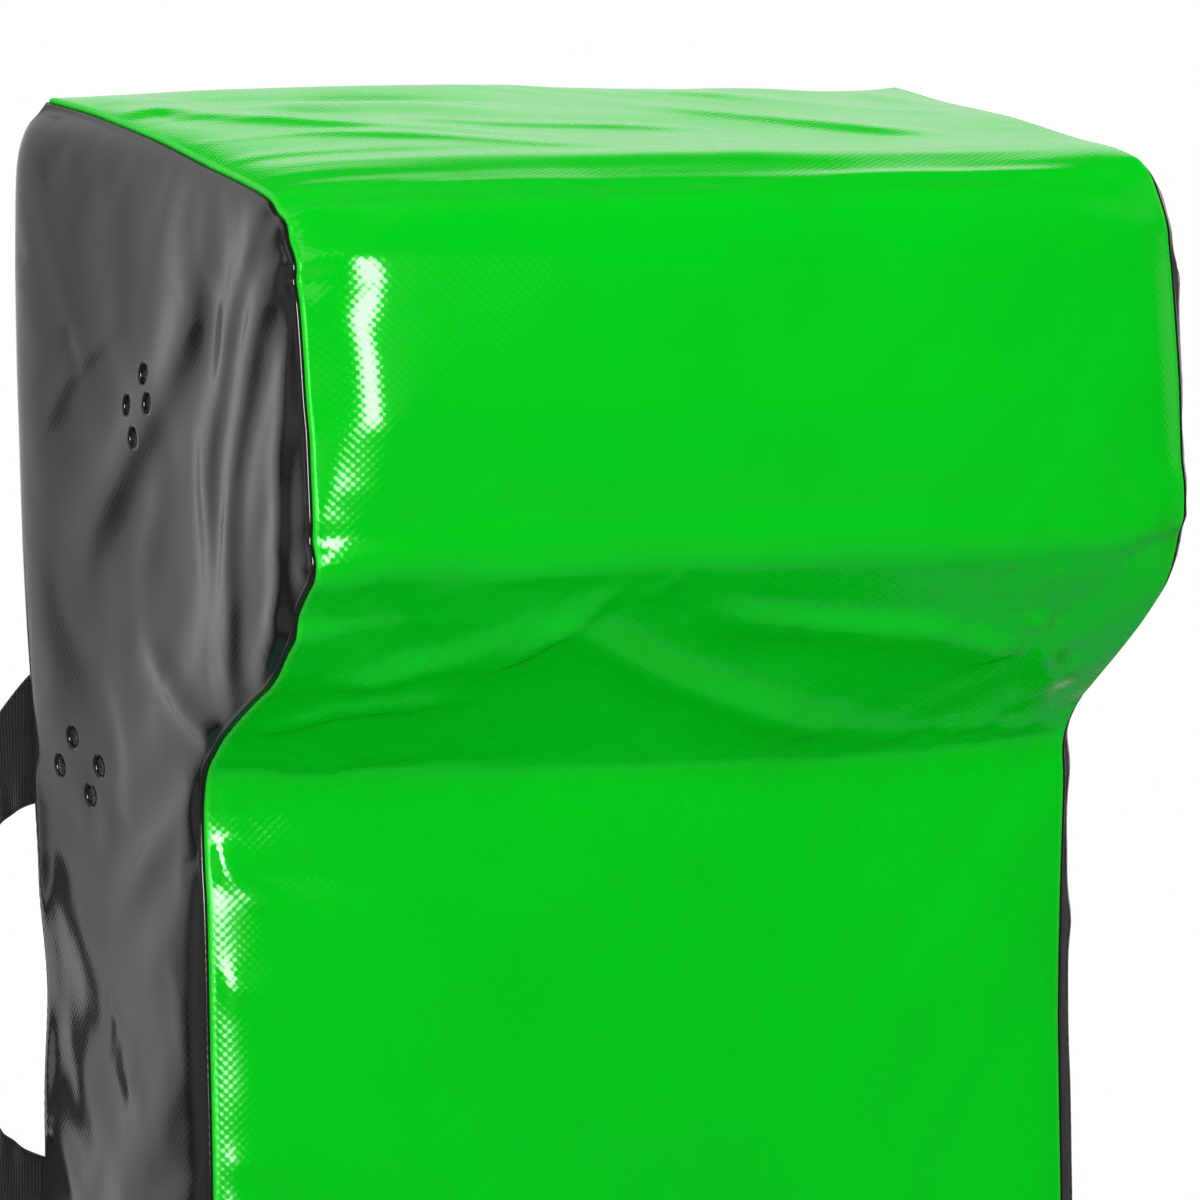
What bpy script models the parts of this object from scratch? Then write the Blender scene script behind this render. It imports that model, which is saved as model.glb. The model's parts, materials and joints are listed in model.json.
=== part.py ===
"""Tackle wedge: a foam training pad with an overhanging head, in a sewn PVC-coated cover.

Metres, +Z up. The pad stands on its base, with the origin at the base's centre.
The impact face looks along -Y, and the holder stands behind the back, at +Y.
"""

import math

import bmesh
import bpy

# ---- driving dimensions -------------------------------------------------
HALF_W = 0.215  # outer face of each side panel
BACK_Y = 0.103
LOWER_Y = -0.103  # face of the lower block
CREST_Y, CREST_Z = -0.226, 0.901  # where the sloping top would meet the face
UNDER_Y, UNDER_Z = -0.240, 0.742  # lower edge of the face, which leans forward
CREASE_Z = 0.630  # where the underside meets the lower face
TOP_BACK_Z = 0.932
R_CREST, R_UNDER, R_CREASE, R_HEM = 0.045, 0.016, 0.012, 0.010

SKIN = 0.0012  # PVC-coated fabric
GAP = 0.0003  # clearance between touching pieces
FACE_PAD = 0.015  # soft impact layer
BACK_SLAB = 0.030  # firm layer behind

BINDING_W, BINDING_T = 0.010, 0.0010  # tape that binds the seam allowance, inside

VENT_R = 0.0050
VENTS = (  # (y, z) on each side panel, two diamonds of four
    (-0.0397, 0.8122), (-0.0217, 0.7966), (-0.0477, 0.7994), (-0.0325, 0.7826),
    (0.0472, 0.6362), (0.0630, 0.6214), (0.0221, 0.6251), (0.0335, 0.6103),
)

HANDLE_Z = 0.515  # middle of each handle loop
HANDLE_END = 0.1530  # from the middle to the far edge of a sewn end
HANDLE_END_IN = 0.0850  # from the middle to the near edge of a sewn end
HANDLE_REACH = 0.086
GRIP_W, GRIP_T = 0.026, 0.0055  # webbing folded lengthwise
WEB_T = 0.0018

TAPE_IN, TAPE_OUT = 0.0031, 0.0160  # zip tape, from the middle of the back
WINDOW = 0.0075  # half the opening between the back panels
CHAIN_HALF = 0.0028
CHAIN_Z0, CHAIN_Z1 = 0.052, 0.885
SLIDER_Z = 0.066


# ---- helpers ------------------------------------------------------------
for old in list(bpy.data.objects):
    bpy.data.objects.remove(old, do_unlink=True)

parts = bpy.data.collections.new("tackle_wedge")
cutters = bpy.data.collections.new("cutters")
bpy.context.scene.collection.children.link(parts)
bpy.context.scene.collection.children.link(cutters)


def material(name, color, roughness, metallic=0.0):
    mat = bpy.data.materials.new(name)
    mat.use_nodes = True
    shader = mat.node_tree.nodes["Principled BSDF"]
    shader.inputs["Base Color"].default_value = (*color, 1.0)
    shader.inputs["Roughness"].default_value = roughness
    shader.inputs["Metallic"].default_value = metallic
    return mat


def add(name, data, color, roughness, metallic=0.0, collection=parts):
    obj = bpy.data.objects.new(name, data)
    obj.data.materials.append(material(name, color, roughness, metallic))
    collection.objects.link(obj)
    return obj


def cutter(name, data):
    obj = bpy.data.objects.new(name, data)
    cutters.objects.link(obj)
    obj.hide_render = True
    obj.display_type = "WIRE"
    return obj


GREEN = (0.0, 0.48, 0.02)
BLACK = (0.035, 0.035, 0.033)
WEBBING = (0.012, 0.012, 0.011)
FOAM = (0.72, 0.74, 0.72)
FOAM_FIRM = (0.20, 0.21, 0.22)


def corners_of(offset):
    """The pad's side outline as sharp corners (y, z, radius), moved inwards by offset."""
    sharp = [
        (BACK_Y, TOP_BACK_Z, 0.0),
        (CREST_Y, CREST_Z, R_CREST),
        (UNDER_Y, UNDER_Z, R_UNDER),
        (LOWER_Y, CREASE_Z, -R_CREASE),
        (LOWER_Y, 0.0, R_HEM),
        (BACK_Y, 0.0, 0.0),
    ]
    count = len(sharp)
    edges = []
    for i in range(count):
        (y0, z0, _), (y1, z1, _) = sharp[i], sharp[(i + 1) % count]
        length = math.hypot(y1 - y0, z1 - z0)
        ty, tz = (y1 - y0) / length, (z1 - z0) / length
        # the outline runs with the inside on its left
        edges.append((y0 - tz * offset, z0 + ty * offset, ty, tz))
    found = []
    for i in range(count):
        y0, z0, ty0, tz0 = edges[i - 1]
        y1, z1, ty1, tz1 = edges[i]
        cross = ty0 * tz1 - tz0 * ty1
        along = ((y1 - y0) * tz1 - (z1 - z0) * ty1) / cross
        radius = sharp[i][2]
        if radius > 0:
            radius = max(radius - offset, 0.0)
        elif radius < 0:
            radius = -radius + offset
        found.append((y0 + ty0 * along, z0 + tz0 * along, radius))
    return found


def rounded(corners, steps=8):
    """The outline's points with each corner turned into an arc of its radius."""
    points = []
    count = len(corners)
    for i, (y, z, radius) in enumerate(corners):
        py, pz, _ = corners[i - 1]
        ny, nz, _ = corners[(i + 1) % count]
        a = (py - y, pz - z)
        b = (ny - y, nz - z)
        la, lb = math.hypot(*a), math.hypot(*b)
        a, b = (a[0] / la, a[1] / la), (b[0] / lb, b[1] / lb)
        half = math.acos(max(-1.0, min(1.0, a[0] * b[0] + a[1] * b[1]))) / 2
        if radius <= 0:
            points.append((y, z))
            continue
        reach = radius / math.tan(half)
        mid = (a[0] + b[0], a[1] + b[1])
        lm = math.hypot(*mid)
        cy, cz = y + mid[0] / lm * radius / math.sin(half), z + mid[1] / lm * radius / math.sin(half)
        start = math.atan2(z + a[1] * reach - cz, y + a[0] * reach - cy)
        end = math.atan2(z + b[1] * reach - cz, y + b[0] * reach - cy)
        turn = (end - start + math.pi) % (2 * math.pi) - math.pi
        for k in range(steps + 1):
            angle = start + turn * k / steps
            points.append((cy + radius * math.cos(angle), cz + radius * math.sin(angle)))
    return points


def cut(points, along_y, along_z, limit):
    """The polygon's part where along_y * y + along_z * z is more than limit."""
    kept = []
    for i, p in enumerate(points):
        q = points[(i + 1) % len(points)]
        above_p = along_y * p[0] + along_z * p[1] - limit
        above_q = along_y * q[0] + along_z * q[1] - limit
        if above_p > 0:
            kept.append(p)
        if (above_p > 0) != (above_q > 0):
            t = above_p / (above_p - above_q)
            kept.append((p[0] + (q[0] - p[0]) * t, p[1] + (q[1] - p[1]) * t))
    return kept


def flat_curve(name, outlines, thickness):
    """A flat outline with its holes, filled and given a thickness. Local x, y are the plate."""
    curve = bpy.data.curves.new(name, "CURVE")
    curve.dimensions = "2D"
    curve.fill_mode = "BOTH"
    curve.extrude = thickness / 2
    for outline in outlines:
        spline = curve.splines.new("POLY")
        spline.points.add(len(outline) - 1)
        for point, (u, v) in zip(spline.points, outline):
            point.co = (u, v, 0.0, 1.0)
        spline.use_cyclic_u = True
    return curve


def side_plate(name, outlines, x0, x1, *look):
    """A plate whose outline is given as (y, z) and that spans x0 to x1."""
    obj = add(name, flat_curve(name, outlines, abs(x1 - x0)), *look)
    obj.rotation_euler = (math.radians(90), 0.0, math.radians(90))
    obj.location = ((x0 + x1) / 2, 0.0, 0.0)
    return obj


def circle(cy, cz, radius, count=16):
    return [
        (cy + radius * math.cos(2 * math.pi * k / count), cz + radius * math.sin(2 * math.pi * k / count))
        for k in range(count)
    ]


def block_mesh(name, size, bevel=0.0):
    """A box centred on its origin, with bevelled edges."""
    bm = bmesh.new()
    bmesh.ops.create_cube(bm, size=1.0)
    bmesh.ops.scale(bm, vec=size, verts=bm.verts)
    if bevel:
        bmesh.ops.bevel(bm, geom=bm.edges[:], offset=bevel, segments=2, affect="EDGES", profile=0.5)
    mesh = bpy.data.meshes.new(name)
    bm.to_mesh(mesh)
    bm.free()
    return mesh


def block(name, low, high, *look, bevel=0.0):
    size = tuple(h - l for l, h in zip(low, high))
    obj = add(name, block_mesh(name, size, bevel), *look)
    obj.location = tuple((l + h) / 2 for l, h in zip(low, high))
    return obj


def tube(name, points, radius, *look, resolution=2):
    curve = bpy.data.curves.new(name, "CURVE")
    curve.dimensions = "3D"
    curve.bevel_depth = radius
    curve.bevel_resolution = resolution
    curve.use_fill_caps = True
    spline = curve.splines.new("POLY")
    spline.points.add(len(points) - 1)
    for point, co in zip(spline.points, points):
        point.co = (*co, 1.0)
    return add(name, curve, *look)


def smooth_steps(keys, count):
    """Points on a Catmull-Rom curve through the keys."""
    found = []
    for k in range(count + 1):
        t = k / count * (len(keys) - 1)
        i = min(int(t), len(keys) - 2)
        t -= i
        p0 = keys[max(i - 1, 0)]
        p1, p2 = keys[i], keys[i + 1]
        p3 = keys[min(i + 2, len(keys) - 1)]
        found.append(
            tuple(
                0.5 * ((2 * b) + (c - a) * t + (2 * a - 5 * b + 4 * c - d) * t * t + (3 * b - a - 3 * c + d) * t ** 3)
                for a, b, c, d in zip(p0, p1, p2, p3)
            )
        )
    return found


# ---- foam ---------------------------------------------------------------
FOAM_BACK = BACK_Y - 0.0026
FOAM_HALF = HALF_W - SKIN - BINDING_T - 2 * GAP
foam_outline = cut(rounded(corners_of(SKIN + GAP)), -1, 0, -FOAM_BACK)
slab_front = FOAM_BACK - BACK_SLAB
core_front = LOWER_Y + SKIN + GAP + FACE_PAD
head_floor = CREASE_Z + 0.012


def foam(name, outline, color):
    return side_plate(name, [outline], -FOAM_HALF, FOAM_HALF, color, 0.9)


foam("foam_back_slab", cut(foam_outline, 1, 0, slab_front), FOAM_FIRM)
foam("foam_core", cut(cut(foam_outline, -1, 0, -(slab_front - GAP)), 1, 0, core_front), FOAM)
front_part = cut(foam_outline, -1, 0, -(core_front - GAP))
head = cut(front_part, 0, 1, head_floor)
# the face pad's inner side runs parallel to the leaning face
lean = math.hypot(CREST_Z - UNDER_Z, CREST_Y - UNDER_Y)
face_ny, face_nz = (CREST_Z - UNDER_Z) / lean, -(CREST_Y - UNDER_Y) / lean
face_at = face_ny * UNDER_Y + face_nz * UNDER_Z + SKIN + GAP + FACE_PAD
foam("foam_nose", cut(head, face_ny, face_nz, face_at + GAP), FOAM)
foam("upper_face_pad", cut(head, -face_ny, -face_nz, -face_at), FOAM)
foam("lower_face_pad", cut(front_part, 0, -1, -(head_floor - GAP)), FOAM)

# ---- cover --------------------------------------------------------------
# Base panel: the heavy sheet that the pad stands on.
base_outline = [
    (-HALF_W + 0.001, LOWER_Y + R_HEM), (-HALF_W + 0.004, LOWER_Y + 0.004), (-HALF_W + 0.010, LOWER_Y),
    (HALF_W - 0.010, LOWER_Y), (HALF_W - 0.004, LOWER_Y + 0.004), (HALF_W - 0.001, LOWER_Y + R_HEM),
    (HALF_W - 0.001, BACK_Y), (-HALF_W + 0.001, BACK_Y),
]
base = add("base_panel", flat_curve("base_panel", [base_outline], SKIN), BLACK, 0.45)
base.location = (0.0, 0.0, SKIN / 2)

HEM_Z = SKIN + GAP  # lower edge of every panel that hangs to the base

# Front cover: one sheet from the top back edge, over the crest and down to the hem.
front_path = [p for p in rounded(corners_of(0.0)) if p != (BACK_Y, 0.0)]
start = front_path.index((BACK_Y, TOP_BACK_Z))
front_path = front_path[start:] + front_path[:start]
front_path[0] = (BACK_Y - SKIN - GAP, TOP_BACK_Z - (SKIN + GAP) * (TOP_BACK_Z - CREST_Z) / (BACK_Y - CREST_Y))
front_path = [p for p in front_path if p[1] > HEM_Z + 0.002]
front_path.append((LOWER_Y + 0.0045, HEM_Z))
bm = bmesh.new()
COVER_HALF = HALF_W - SKIN - GAP
row = [bm.verts.new((-COVER_HALF, y, z)) for y, z in front_path]
edges = [bm.edges.new((a, b)) for a, b in zip(row, row[1:])]
swept = bmesh.ops.extrude_edge_only(bm, edges=edges)
bmesh.ops.translate(
    bm,
    vec=(2 * COVER_HALF, 0.0, 0.0),
    verts=[v for v in swept["geom"] if isinstance(v, bmesh.types.BMVert)],
)
sheet = bpy.data.meshes.new("front_cover")
bm.to_mesh(sheet)
bm.free()
sheet.shade_smooth()
if max(sheet.polygons, key=lambda face: face.center.z).normal.z < 0:  # the top strip faces up
    sheet.flip_normals()
front = add("front_cover", sheet, GREEN, 0.28)
solid = front.modifiers.new("thickness", "SOLIDIFY")
solid.thickness = SKIN
solid.offset = -1.0
solid.use_even_offset = True

# Side panels, each with its eight punched vents.
panel_outline = cut(rounded(corners_of(0.0)), 0, 1, HEM_Z)
for side, name in ((-1, "left_side_panel"), (1, "right_side_panel")):
    outlines = [panel_outline] + [circle(y, z, VENT_R) for y, z in VENTS]
    side_plate(name, outlines, side * HALF_W, side * (HALF_W - SKIN), BLACK, 0.35)

# Back: two panels that meet at the zip.
top_inner = TOP_BACK_Z - SKIN - GAP
for side, name in ((-1, "back_panel_left"), (1, "back_panel_right")):
    x0, x1 = sorted((side * WINDOW, side * (HALF_W - SKIN - GAP)))
    block(name, (x0, BACK_Y - SKIN, HEM_Z), (x1, BACK_Y, TOP_BACK_Z), BLACK, 0.4)

# Seam bindings: a tape all the way round the inside of each side panel, where the seam
# allowances of the two sheets are bound together.
for side, name in ((-1, "left_seam_binding"), (1, "right_seam_binding")):
    outer = cut(rounded(corners_of(SKIN + GAP)), 0, 1, HEM_Z + 0.0005)
    outer = cut(outer, -1, 0, -FOAM_BACK)
    inner = cut(rounded(corners_of(SKIN + GAP + BINDING_W)), 0, 1, HEM_Z + 0.0005 + BINDING_W)
    inner = cut(inner, -1, 0, -(FOAM_BACK - BINDING_W))
    x = HALF_W - SKIN - GAP
    side_plate(name, [outer, inner], side * x, side * (x - BINDING_T), WEBBING, 0.85)
PIN_X, PIN_Y = HALF_W + 0.0006, BACK_Y + 0.0006  # the seam that a handle swings about

# ---- handles ------------------------------------------------------------
# Each is one length of webbing. Its flat ends are sewn along the back corner seam and it
# gathers to a folded grip. It swings about the seam.


def handle(name, side):
    outer = [
        (0.0022, HANDLE_END), (0.0170, HANDLE_END - 0.0130), (0.0420, HANDLE_END - 0.0450),
        (0.0700, 0.0620), (HANDLE_REACH - 0.002, 0.0310), (HANDLE_REACH, 0.0),
    ]
    inner = [
        (0.0022, HANDLE_END_IN), (0.0170, HANDLE_END_IN - 0.0040), (0.0330, 0.0690),
        (0.0480, 0.0500), (HANDLE_REACH - GRIP_W - 0.002, 0.0260), (HANDLE_REACH - GRIP_W, 0.0),
    ]
    outer += [(s, -z) for s, z in reversed(outer[:-1])]
    inner += [(s, -z) for s, z in reversed(inner[:-1])]
    count = 30
    rows = list(zip(smooth_steps(outer, count), smooth_steps(inner, count)))
    out = (side * math.sqrt(0.5), math.sqrt(0.5))
    across = (-out[1], out[0])
    bm = bmesh.new()
    rings = []
    for k, (far, near) in enumerate(rows):
        grip = math.sin(math.pi * k / count) ** 2
        half_t = (WEB_T + (GRIP_T - WEB_T) * grip) / 2
        edge_t = WEB_T / 2 * (1 - 0.2 * grip)
        ring = []
        # a flat lens: thin at both edges, full in the middle
        for share, t in ((0.0, edge_t), (0.25, half_t), (0.75, half_t), (1.0, edge_t)):
            s = far[0] + (near[0] - far[0]) * share
            z = far[1] + (near[1] - far[1]) * share
            ring.append((s, z, t))
        loop = ring + [(s, z, -t) for s, z, t in reversed(ring)]
        rings.append(
            [
                bm.verts.new(
                    (side * PIN_X + out[0] * s + across[0] * t, PIN_Y + out[1] * s + across[1] * t, HANDLE_Z + z)
                )
                for s, z, t in loop
            ]
        )
    for a, b in zip(rings, rings[1:]):
        for i in range(8):
            j = (i + 1) % 8
            bm.faces.new((a[i], a[j], b[j], b[i]))
    bm.faces.new(rings[0])
    bm.faces.new(rings[-1])
    bmesh.ops.recalc_face_normals(bm, faces=bm.faces[:])
    mesh = bpy.data.meshes.new(name)
    # the pin line along the corner seam is the object's origin
    bmesh.ops.translate(bm, vec=(-side * PIN_X, -PIN_Y, -HANDLE_Z), verts=bm.verts)
    bm.to_mesh(mesh)
    bm.free()
    mesh.shade_smooth()
    obj = add(name, mesh, WEBBING, 0.8)
    obj.location = (side * PIN_X, PIN_Y, HANDLE_Z)
    return obj


handle("left_handle", -1)
handle("right_handle", 1)

# Reinforcement patches, sewn on the back panel beside each handle end.
for side, word in ((-1, "left"), (1, "right")):
    for level, sign in (("upper", 1), ("lower", -1)):
        middle = HANDLE_Z + sign * (HANDLE_END + HANDLE_END_IN) / 2
        x0, x1 = sorted((side * (HALF_W - 0.055), side * (HALF_W - 0.006)))
        block(
            f"{word}_{level}_patch",
            (x0, BACK_Y + GAP, middle - 0.042), (x1, BACK_Y + GAP + 0.0010, middle + 0.042),
            BLACK, 0.45,
        )

# ---- zip ----------------------------------------------------------------
TAPE_Y1 = BACK_Y - SKIN - GAP
TAPE_Y0 = TAPE_Y1 - 0.0008
for side, name in ((-1, "zip_tape_left"), (1, "zip_tape_right")):
    x0, x1 = sorted((side * TAPE_IN, side * TAPE_OUT))
    block(name, (x0, TAPE_Y0, HEM_Z), (x1, TAPE_Y1, TOP_BACK_Z - 0.002), WEBBING, 0.85)
CHAIN_Y1 = BACK_Y + 0.0003
block("zip_chain", (-CHAIN_HALF, TAPE_Y0, CHAIN_Z0), (CHAIN_HALF, CHAIN_Y1, CHAIN_Z1), (0.03, 0.03, 0.03), 0.4, bevel=0.0005)
METAL = ((0.06, 0.06, 0.065), 0.35, 0.9)
block("zip_bottom_stop", (-0.0030, TAPE_Y1 + GAP, CHAIN_Z0 - 0.0053), (0.0030, BACK_Y + 0.0008, CHAIN_Z0 - GAP), *METAL, bevel=0.0004)
block("zip_top_stop", (-0.0030, TAPE_Y1 + GAP, CHAIN_Z1 + GAP), (0.0030, BACK_Y + 0.0008, CHAIN_Z1 + 0.0053), *METAL, bevel=0.0004)

# Slider: a channel that runs over the chain, with a bridge that holds the pull.
slider = add("zip_slider", block_mesh("zip_slider", (0.0096, 0.0048, 0.0120), 0.0008), *METAL)
slider.location = (0.0, TAPE_Y1 + GAP + 0.0024, SLIDER_Z)
groove = cutter("slider_groove", block_mesh("slider_groove", (0.0064, 0.0060, 0.0200)))
groove.location = (0.0, CHAIN_Y1 + GAP - 0.0030, SLIDER_Z)
cut = slider.modifiers.new("groove", "BOOLEAN")
cut.operation = "DIFFERENCE"
cut.object = groove
SLIDER_TOP = TAPE_Y1 + GAP + 0.0048
bridge_outline = [
    (SLIDER_TOP - 0.0008, -0.0050), (SLIDER_TOP + 0.0024, -0.0048), (SLIDER_TOP + 0.0038, -0.0032),
    (SLIDER_TOP + 0.0038, 0.0032), (SLIDER_TOP + 0.0024, 0.0048), (SLIDER_TOP - 0.0008, 0.0050),
    (SLIDER_TOP - 0.0008, 0.0034), (SLIDER_TOP + 0.0020, 0.0032), (SLIDER_TOP + 0.0027, 0.0024),
    (SLIDER_TOP + 0.0027, -0.0024), (SLIDER_TOP + 0.0020, -0.0032), (SLIDER_TOP - 0.0008, -0.0034),
]
loose = flat_curve("bridge", [bridge_outline], 0.0024)
holder = bpy.data.objects.new("bridge", loose)
cutters.objects.link(holder)
holder.rotation_euler = (math.radians(90), 0.0, math.radians(90))
holder.location = (0.0, 0.0, SLIDER_Z)
bpy.context.view_layer.update()
bridge_mesh = bpy.data.meshes.new_from_object(holder.evaluated_get(bpy.context.evaluated_depsgraph_get()))
bm = bmesh.new()
bm.from_mesh(bridge_mesh)
bmesh.ops.remove_doubles(bm, verts=bm.verts, dist=1e-6)
bmesh.ops.recalc_face_normals(bm, faces=bm.faces[:])
bm.to_mesh(bridge_mesh)
bm.free()
bridge = cutter("slider_bridge", bridge_mesh)
bridge.matrix_world = holder.matrix_world
bpy.data.objects.remove(holder, do_unlink=True)
join = slider.modifiers.new("bridge", "BOOLEAN")
join.operation = "UNION"
join.object = bridge

# Pull: a ring under the bridge, and a tab. Its origin is on the bar that it swings about.
BAR_Y = SLIDER_TOP + 0.00135
tab = [
    (-0.0036, 0.0000), (-0.0030, 0.0008), (0.0030, 0.0008), (0.0036, 0.0000), (0.0036, -0.0085),
    (0.0044, -0.0120), (0.0044, -0.0320), (0.0030, -0.0345), (-0.0030, -0.0345), (-0.0044, -0.0320),
    (-0.0044, -0.0120), (-0.0036, -0.0085),
]
ring_hole = [(-0.0021, -0.0008), (0.0021, -0.0008), (0.0021, -0.0078), (-0.0021, -0.0078)]
tip_hole = [(0.0016 * math.cos(a), -0.0305 + 0.0016 * math.sin(a)) for a in (math.pi * k / 4 for k in range(8))]
pull = add("zip_pull", flat_curve("zip_pull", [tab, ring_hole, tip_hole], 0.0012), *METAL)
pull.rotation_euler = (math.radians(90), 0.0, 0.0)
pull.location = (0.0, BAR_Y, SLIDER_Z)
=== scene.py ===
"""Tackle wedge, for looks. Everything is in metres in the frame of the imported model:
the base stands on z = 0, the impact face looks along -Y, and the holder stands at +Y.
"""

import json
import math

import bmesh
import bpy
import numpy as np
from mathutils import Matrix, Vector, geometry

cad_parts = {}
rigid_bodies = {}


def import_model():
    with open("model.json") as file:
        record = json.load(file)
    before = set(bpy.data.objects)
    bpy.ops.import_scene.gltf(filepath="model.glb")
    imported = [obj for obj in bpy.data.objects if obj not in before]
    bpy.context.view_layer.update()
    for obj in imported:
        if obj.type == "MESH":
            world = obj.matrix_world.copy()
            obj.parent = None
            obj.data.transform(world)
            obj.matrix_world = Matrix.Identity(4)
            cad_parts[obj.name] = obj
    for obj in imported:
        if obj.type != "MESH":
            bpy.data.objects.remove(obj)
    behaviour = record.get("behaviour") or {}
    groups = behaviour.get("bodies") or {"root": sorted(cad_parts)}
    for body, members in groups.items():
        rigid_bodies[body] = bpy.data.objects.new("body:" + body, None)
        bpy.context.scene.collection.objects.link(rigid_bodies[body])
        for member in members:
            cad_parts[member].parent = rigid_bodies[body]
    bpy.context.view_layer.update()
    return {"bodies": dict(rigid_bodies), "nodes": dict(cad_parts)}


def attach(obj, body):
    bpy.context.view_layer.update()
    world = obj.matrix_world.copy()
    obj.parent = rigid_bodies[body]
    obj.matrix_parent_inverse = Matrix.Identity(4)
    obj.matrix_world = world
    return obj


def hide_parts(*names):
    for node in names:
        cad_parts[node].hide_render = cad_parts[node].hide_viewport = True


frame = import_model()
PAD = next(name for name in frame["bodies"] if name in ("pad", "root"))

# ---- the numbers of part.py that the pieces follow ------------------------
HALF_W, BACK_Y, LOWER_Y = 0.215, 0.103, -0.103
TOP_BACK_Z = 0.932
CORNERS = [  # y, z, radius: the outline from the top back edge to the base
    (BACK_Y, TOP_BACK_Z, 0.0),
    (-0.226, 0.901, 0.045),
    (-0.240, 0.742, 0.016),
    (LOWER_Y, 0.630, 0.012),
    (LOWER_Y, 0.0, 0.0),
]
VENT_R = 0.0050
VENTS = (
    (-0.0397, 0.8122), (-0.0217, 0.7966), (-0.0477, 0.7994), (-0.0325, 0.7826),
    (0.0472, 0.6362), (0.0630, 0.6214), (0.0221, 0.6251), (0.0335, 0.6103),
)
HANDLE_Z = 0.515
WINDOW = 0.0075
LOBE = 0.0016  # radius to which a sheet turns in at a seam


# ---- small tools ----------------------------------------------------------
def keyed(x, keys):
    """A smooth curve through (x, value) keys: cubic Hermite with limited slopes."""
    kx = np.array([k[0] for k in keys], float)
    kv = np.array([k[1] for k in keys], float)
    step = np.diff(kx)
    rise = np.diff(kv) / step
    slope = np.zeros(len(kx))
    for i in range(1, len(kx) - 1):
        if rise[i - 1] * rise[i] > 0:
            w1, w2 = 2 * step[i] + step[i - 1], step[i] + 2 * step[i - 1]
            slope[i] = (w1 + w2) / (w1 / rise[i - 1] + w2 / rise[i])
    x = np.clip(np.asarray(x, float), kx[0], kx[-1])
    i = np.clip(np.searchsorted(kx, x, side="right") - 1, 0, len(kx) - 2)
    t = (x - kx[i]) / step[i]
    h = step[i]
    return (
        (2 * t**3 - 3 * t**2 + 1) * kv[i] + (t**3 - 2 * t**2 + t) * h * slope[i]
        + (-2 * t**3 + 3 * t**2) * kv[i + 1] + (t**3 - t**2) * h * slope[i + 1]
    )


def smoothstep(x, low, high):
    t = np.clip((np.asarray(x, float) - low) / (high - low), 0.0, 1.0)
    return t * t * (3 - 2 * t)


def noise(u, v, seed):
    """Smooth value noise from -1 to 1, with one cell to a unit, the same on every run."""
    table = np.random.default_rng(seed).uniform(-1, 1, (64, 64))
    u, v = np.asarray(u, float) + 1000.0, np.asarray(v, float) + 1000.0
    iu, iv = np.floor(u).astype(int), np.floor(v).astype(int)
    fu, fv = u - iu, v - iv
    su, sv = fu**3 * (fu * (fu * 6 - 15) + 10), fv**3 * (fv * (fv * 6 - 15) + 10)
    a, b = table[iu % 64, iv % 64], table[(iu + 1) % 64, iv % 64]
    c, d = table[iu % 64, (iv + 1) % 64], table[(iu + 1) % 64, (iv + 1) % 64]
    return (a * (1 - su) + b * su) * (1 - sv) + (c * (1 - su) + d * su) * sv


def along(u, v, path):
    """For each point: signed distance to a polyline, and how far along it, from 0 to 1."""
    path = np.array(path, float)
    seg = np.diff(path, axis=0)
    length = np.hypot(seg[:, 0], seg[:, 1])
    start = np.concatenate([[0], np.cumsum(length)])
    best = np.full(np.shape(u), 1e9)
    share = np.zeros(np.shape(u))
    sign = np.ones(np.shape(u))
    for (pu, pv), (du, dv), l, s0 in zip(path[:-1], seg, length, start):
        t = np.clip(((u - pu) * du + (v - pv) * dv) / (l * l), 0, 1)
        ou, ov = u - pu - t * du, v - pv - t * dv
        d = np.hypot(ou, ov)
        near = d < best
        best = np.where(near, d, best)
        share = np.where(near, (s0 + t * l) / start[-1], share)
        sign = np.where(near, np.sign(du * ov - dv * ou), sign)
    return best * sign, share


def curved(path, steps=6):
    """The path with Catmull-Rom points between its own, so that folds have no kinks."""
    p = np.array(path, float)
    if len(p) < 3:
        return p
    ends = np.vstack([2 * p[0] - p[1], p, 2 * p[-1] - p[-2]])
    out = []
    for i in range(1, len(ends) - 2):
        a, b, c, d = ends[i - 1 : i + 3]
        for k in range(steps):
            t = k / steps
            out.append(0.5 * (2 * b + (c - a) * t + (2 * a - 5 * b + 4 * c - d) * t**2 + (3 * b - a - 3 * c + d) * t**3))
    out.append(p[-1])
    return np.array(out)


def fold(u, v, path, height, width, kind="soft", fade=(0.25, 0.25), skew=0.0):
    """A raised (or, with a negative height, sunken) line in a sheet, in metres.
    soft is rounded, crease comes to an edge, step drops from one side to the other."""
    path = curved(path)
    d, t = along(u, v, path)
    lead, trail = fade
    taper = np.ones(np.shape(u))
    if lead > 0:
        taper = taper * smoothstep(t, 0.0, lead)
    if trail > 0:
        taper = taper * (1 - smoothstep(t, 1 - trail, 1.0))
    # beyond the path's ends
    w = width * (1 + skew * np.sign(d))
    if kind == "soft":
        shape = np.exp(-((d / w) ** 2))
    elif kind == "crease":
        shape = np.exp(-np.sqrt((d / w) ** 2 + 0.02) + 0.1414)
    else:
        shape = np.tanh(d / w) * np.exp(-((d / (4 * w)) ** 2))
    return height * shape * taper


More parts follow.
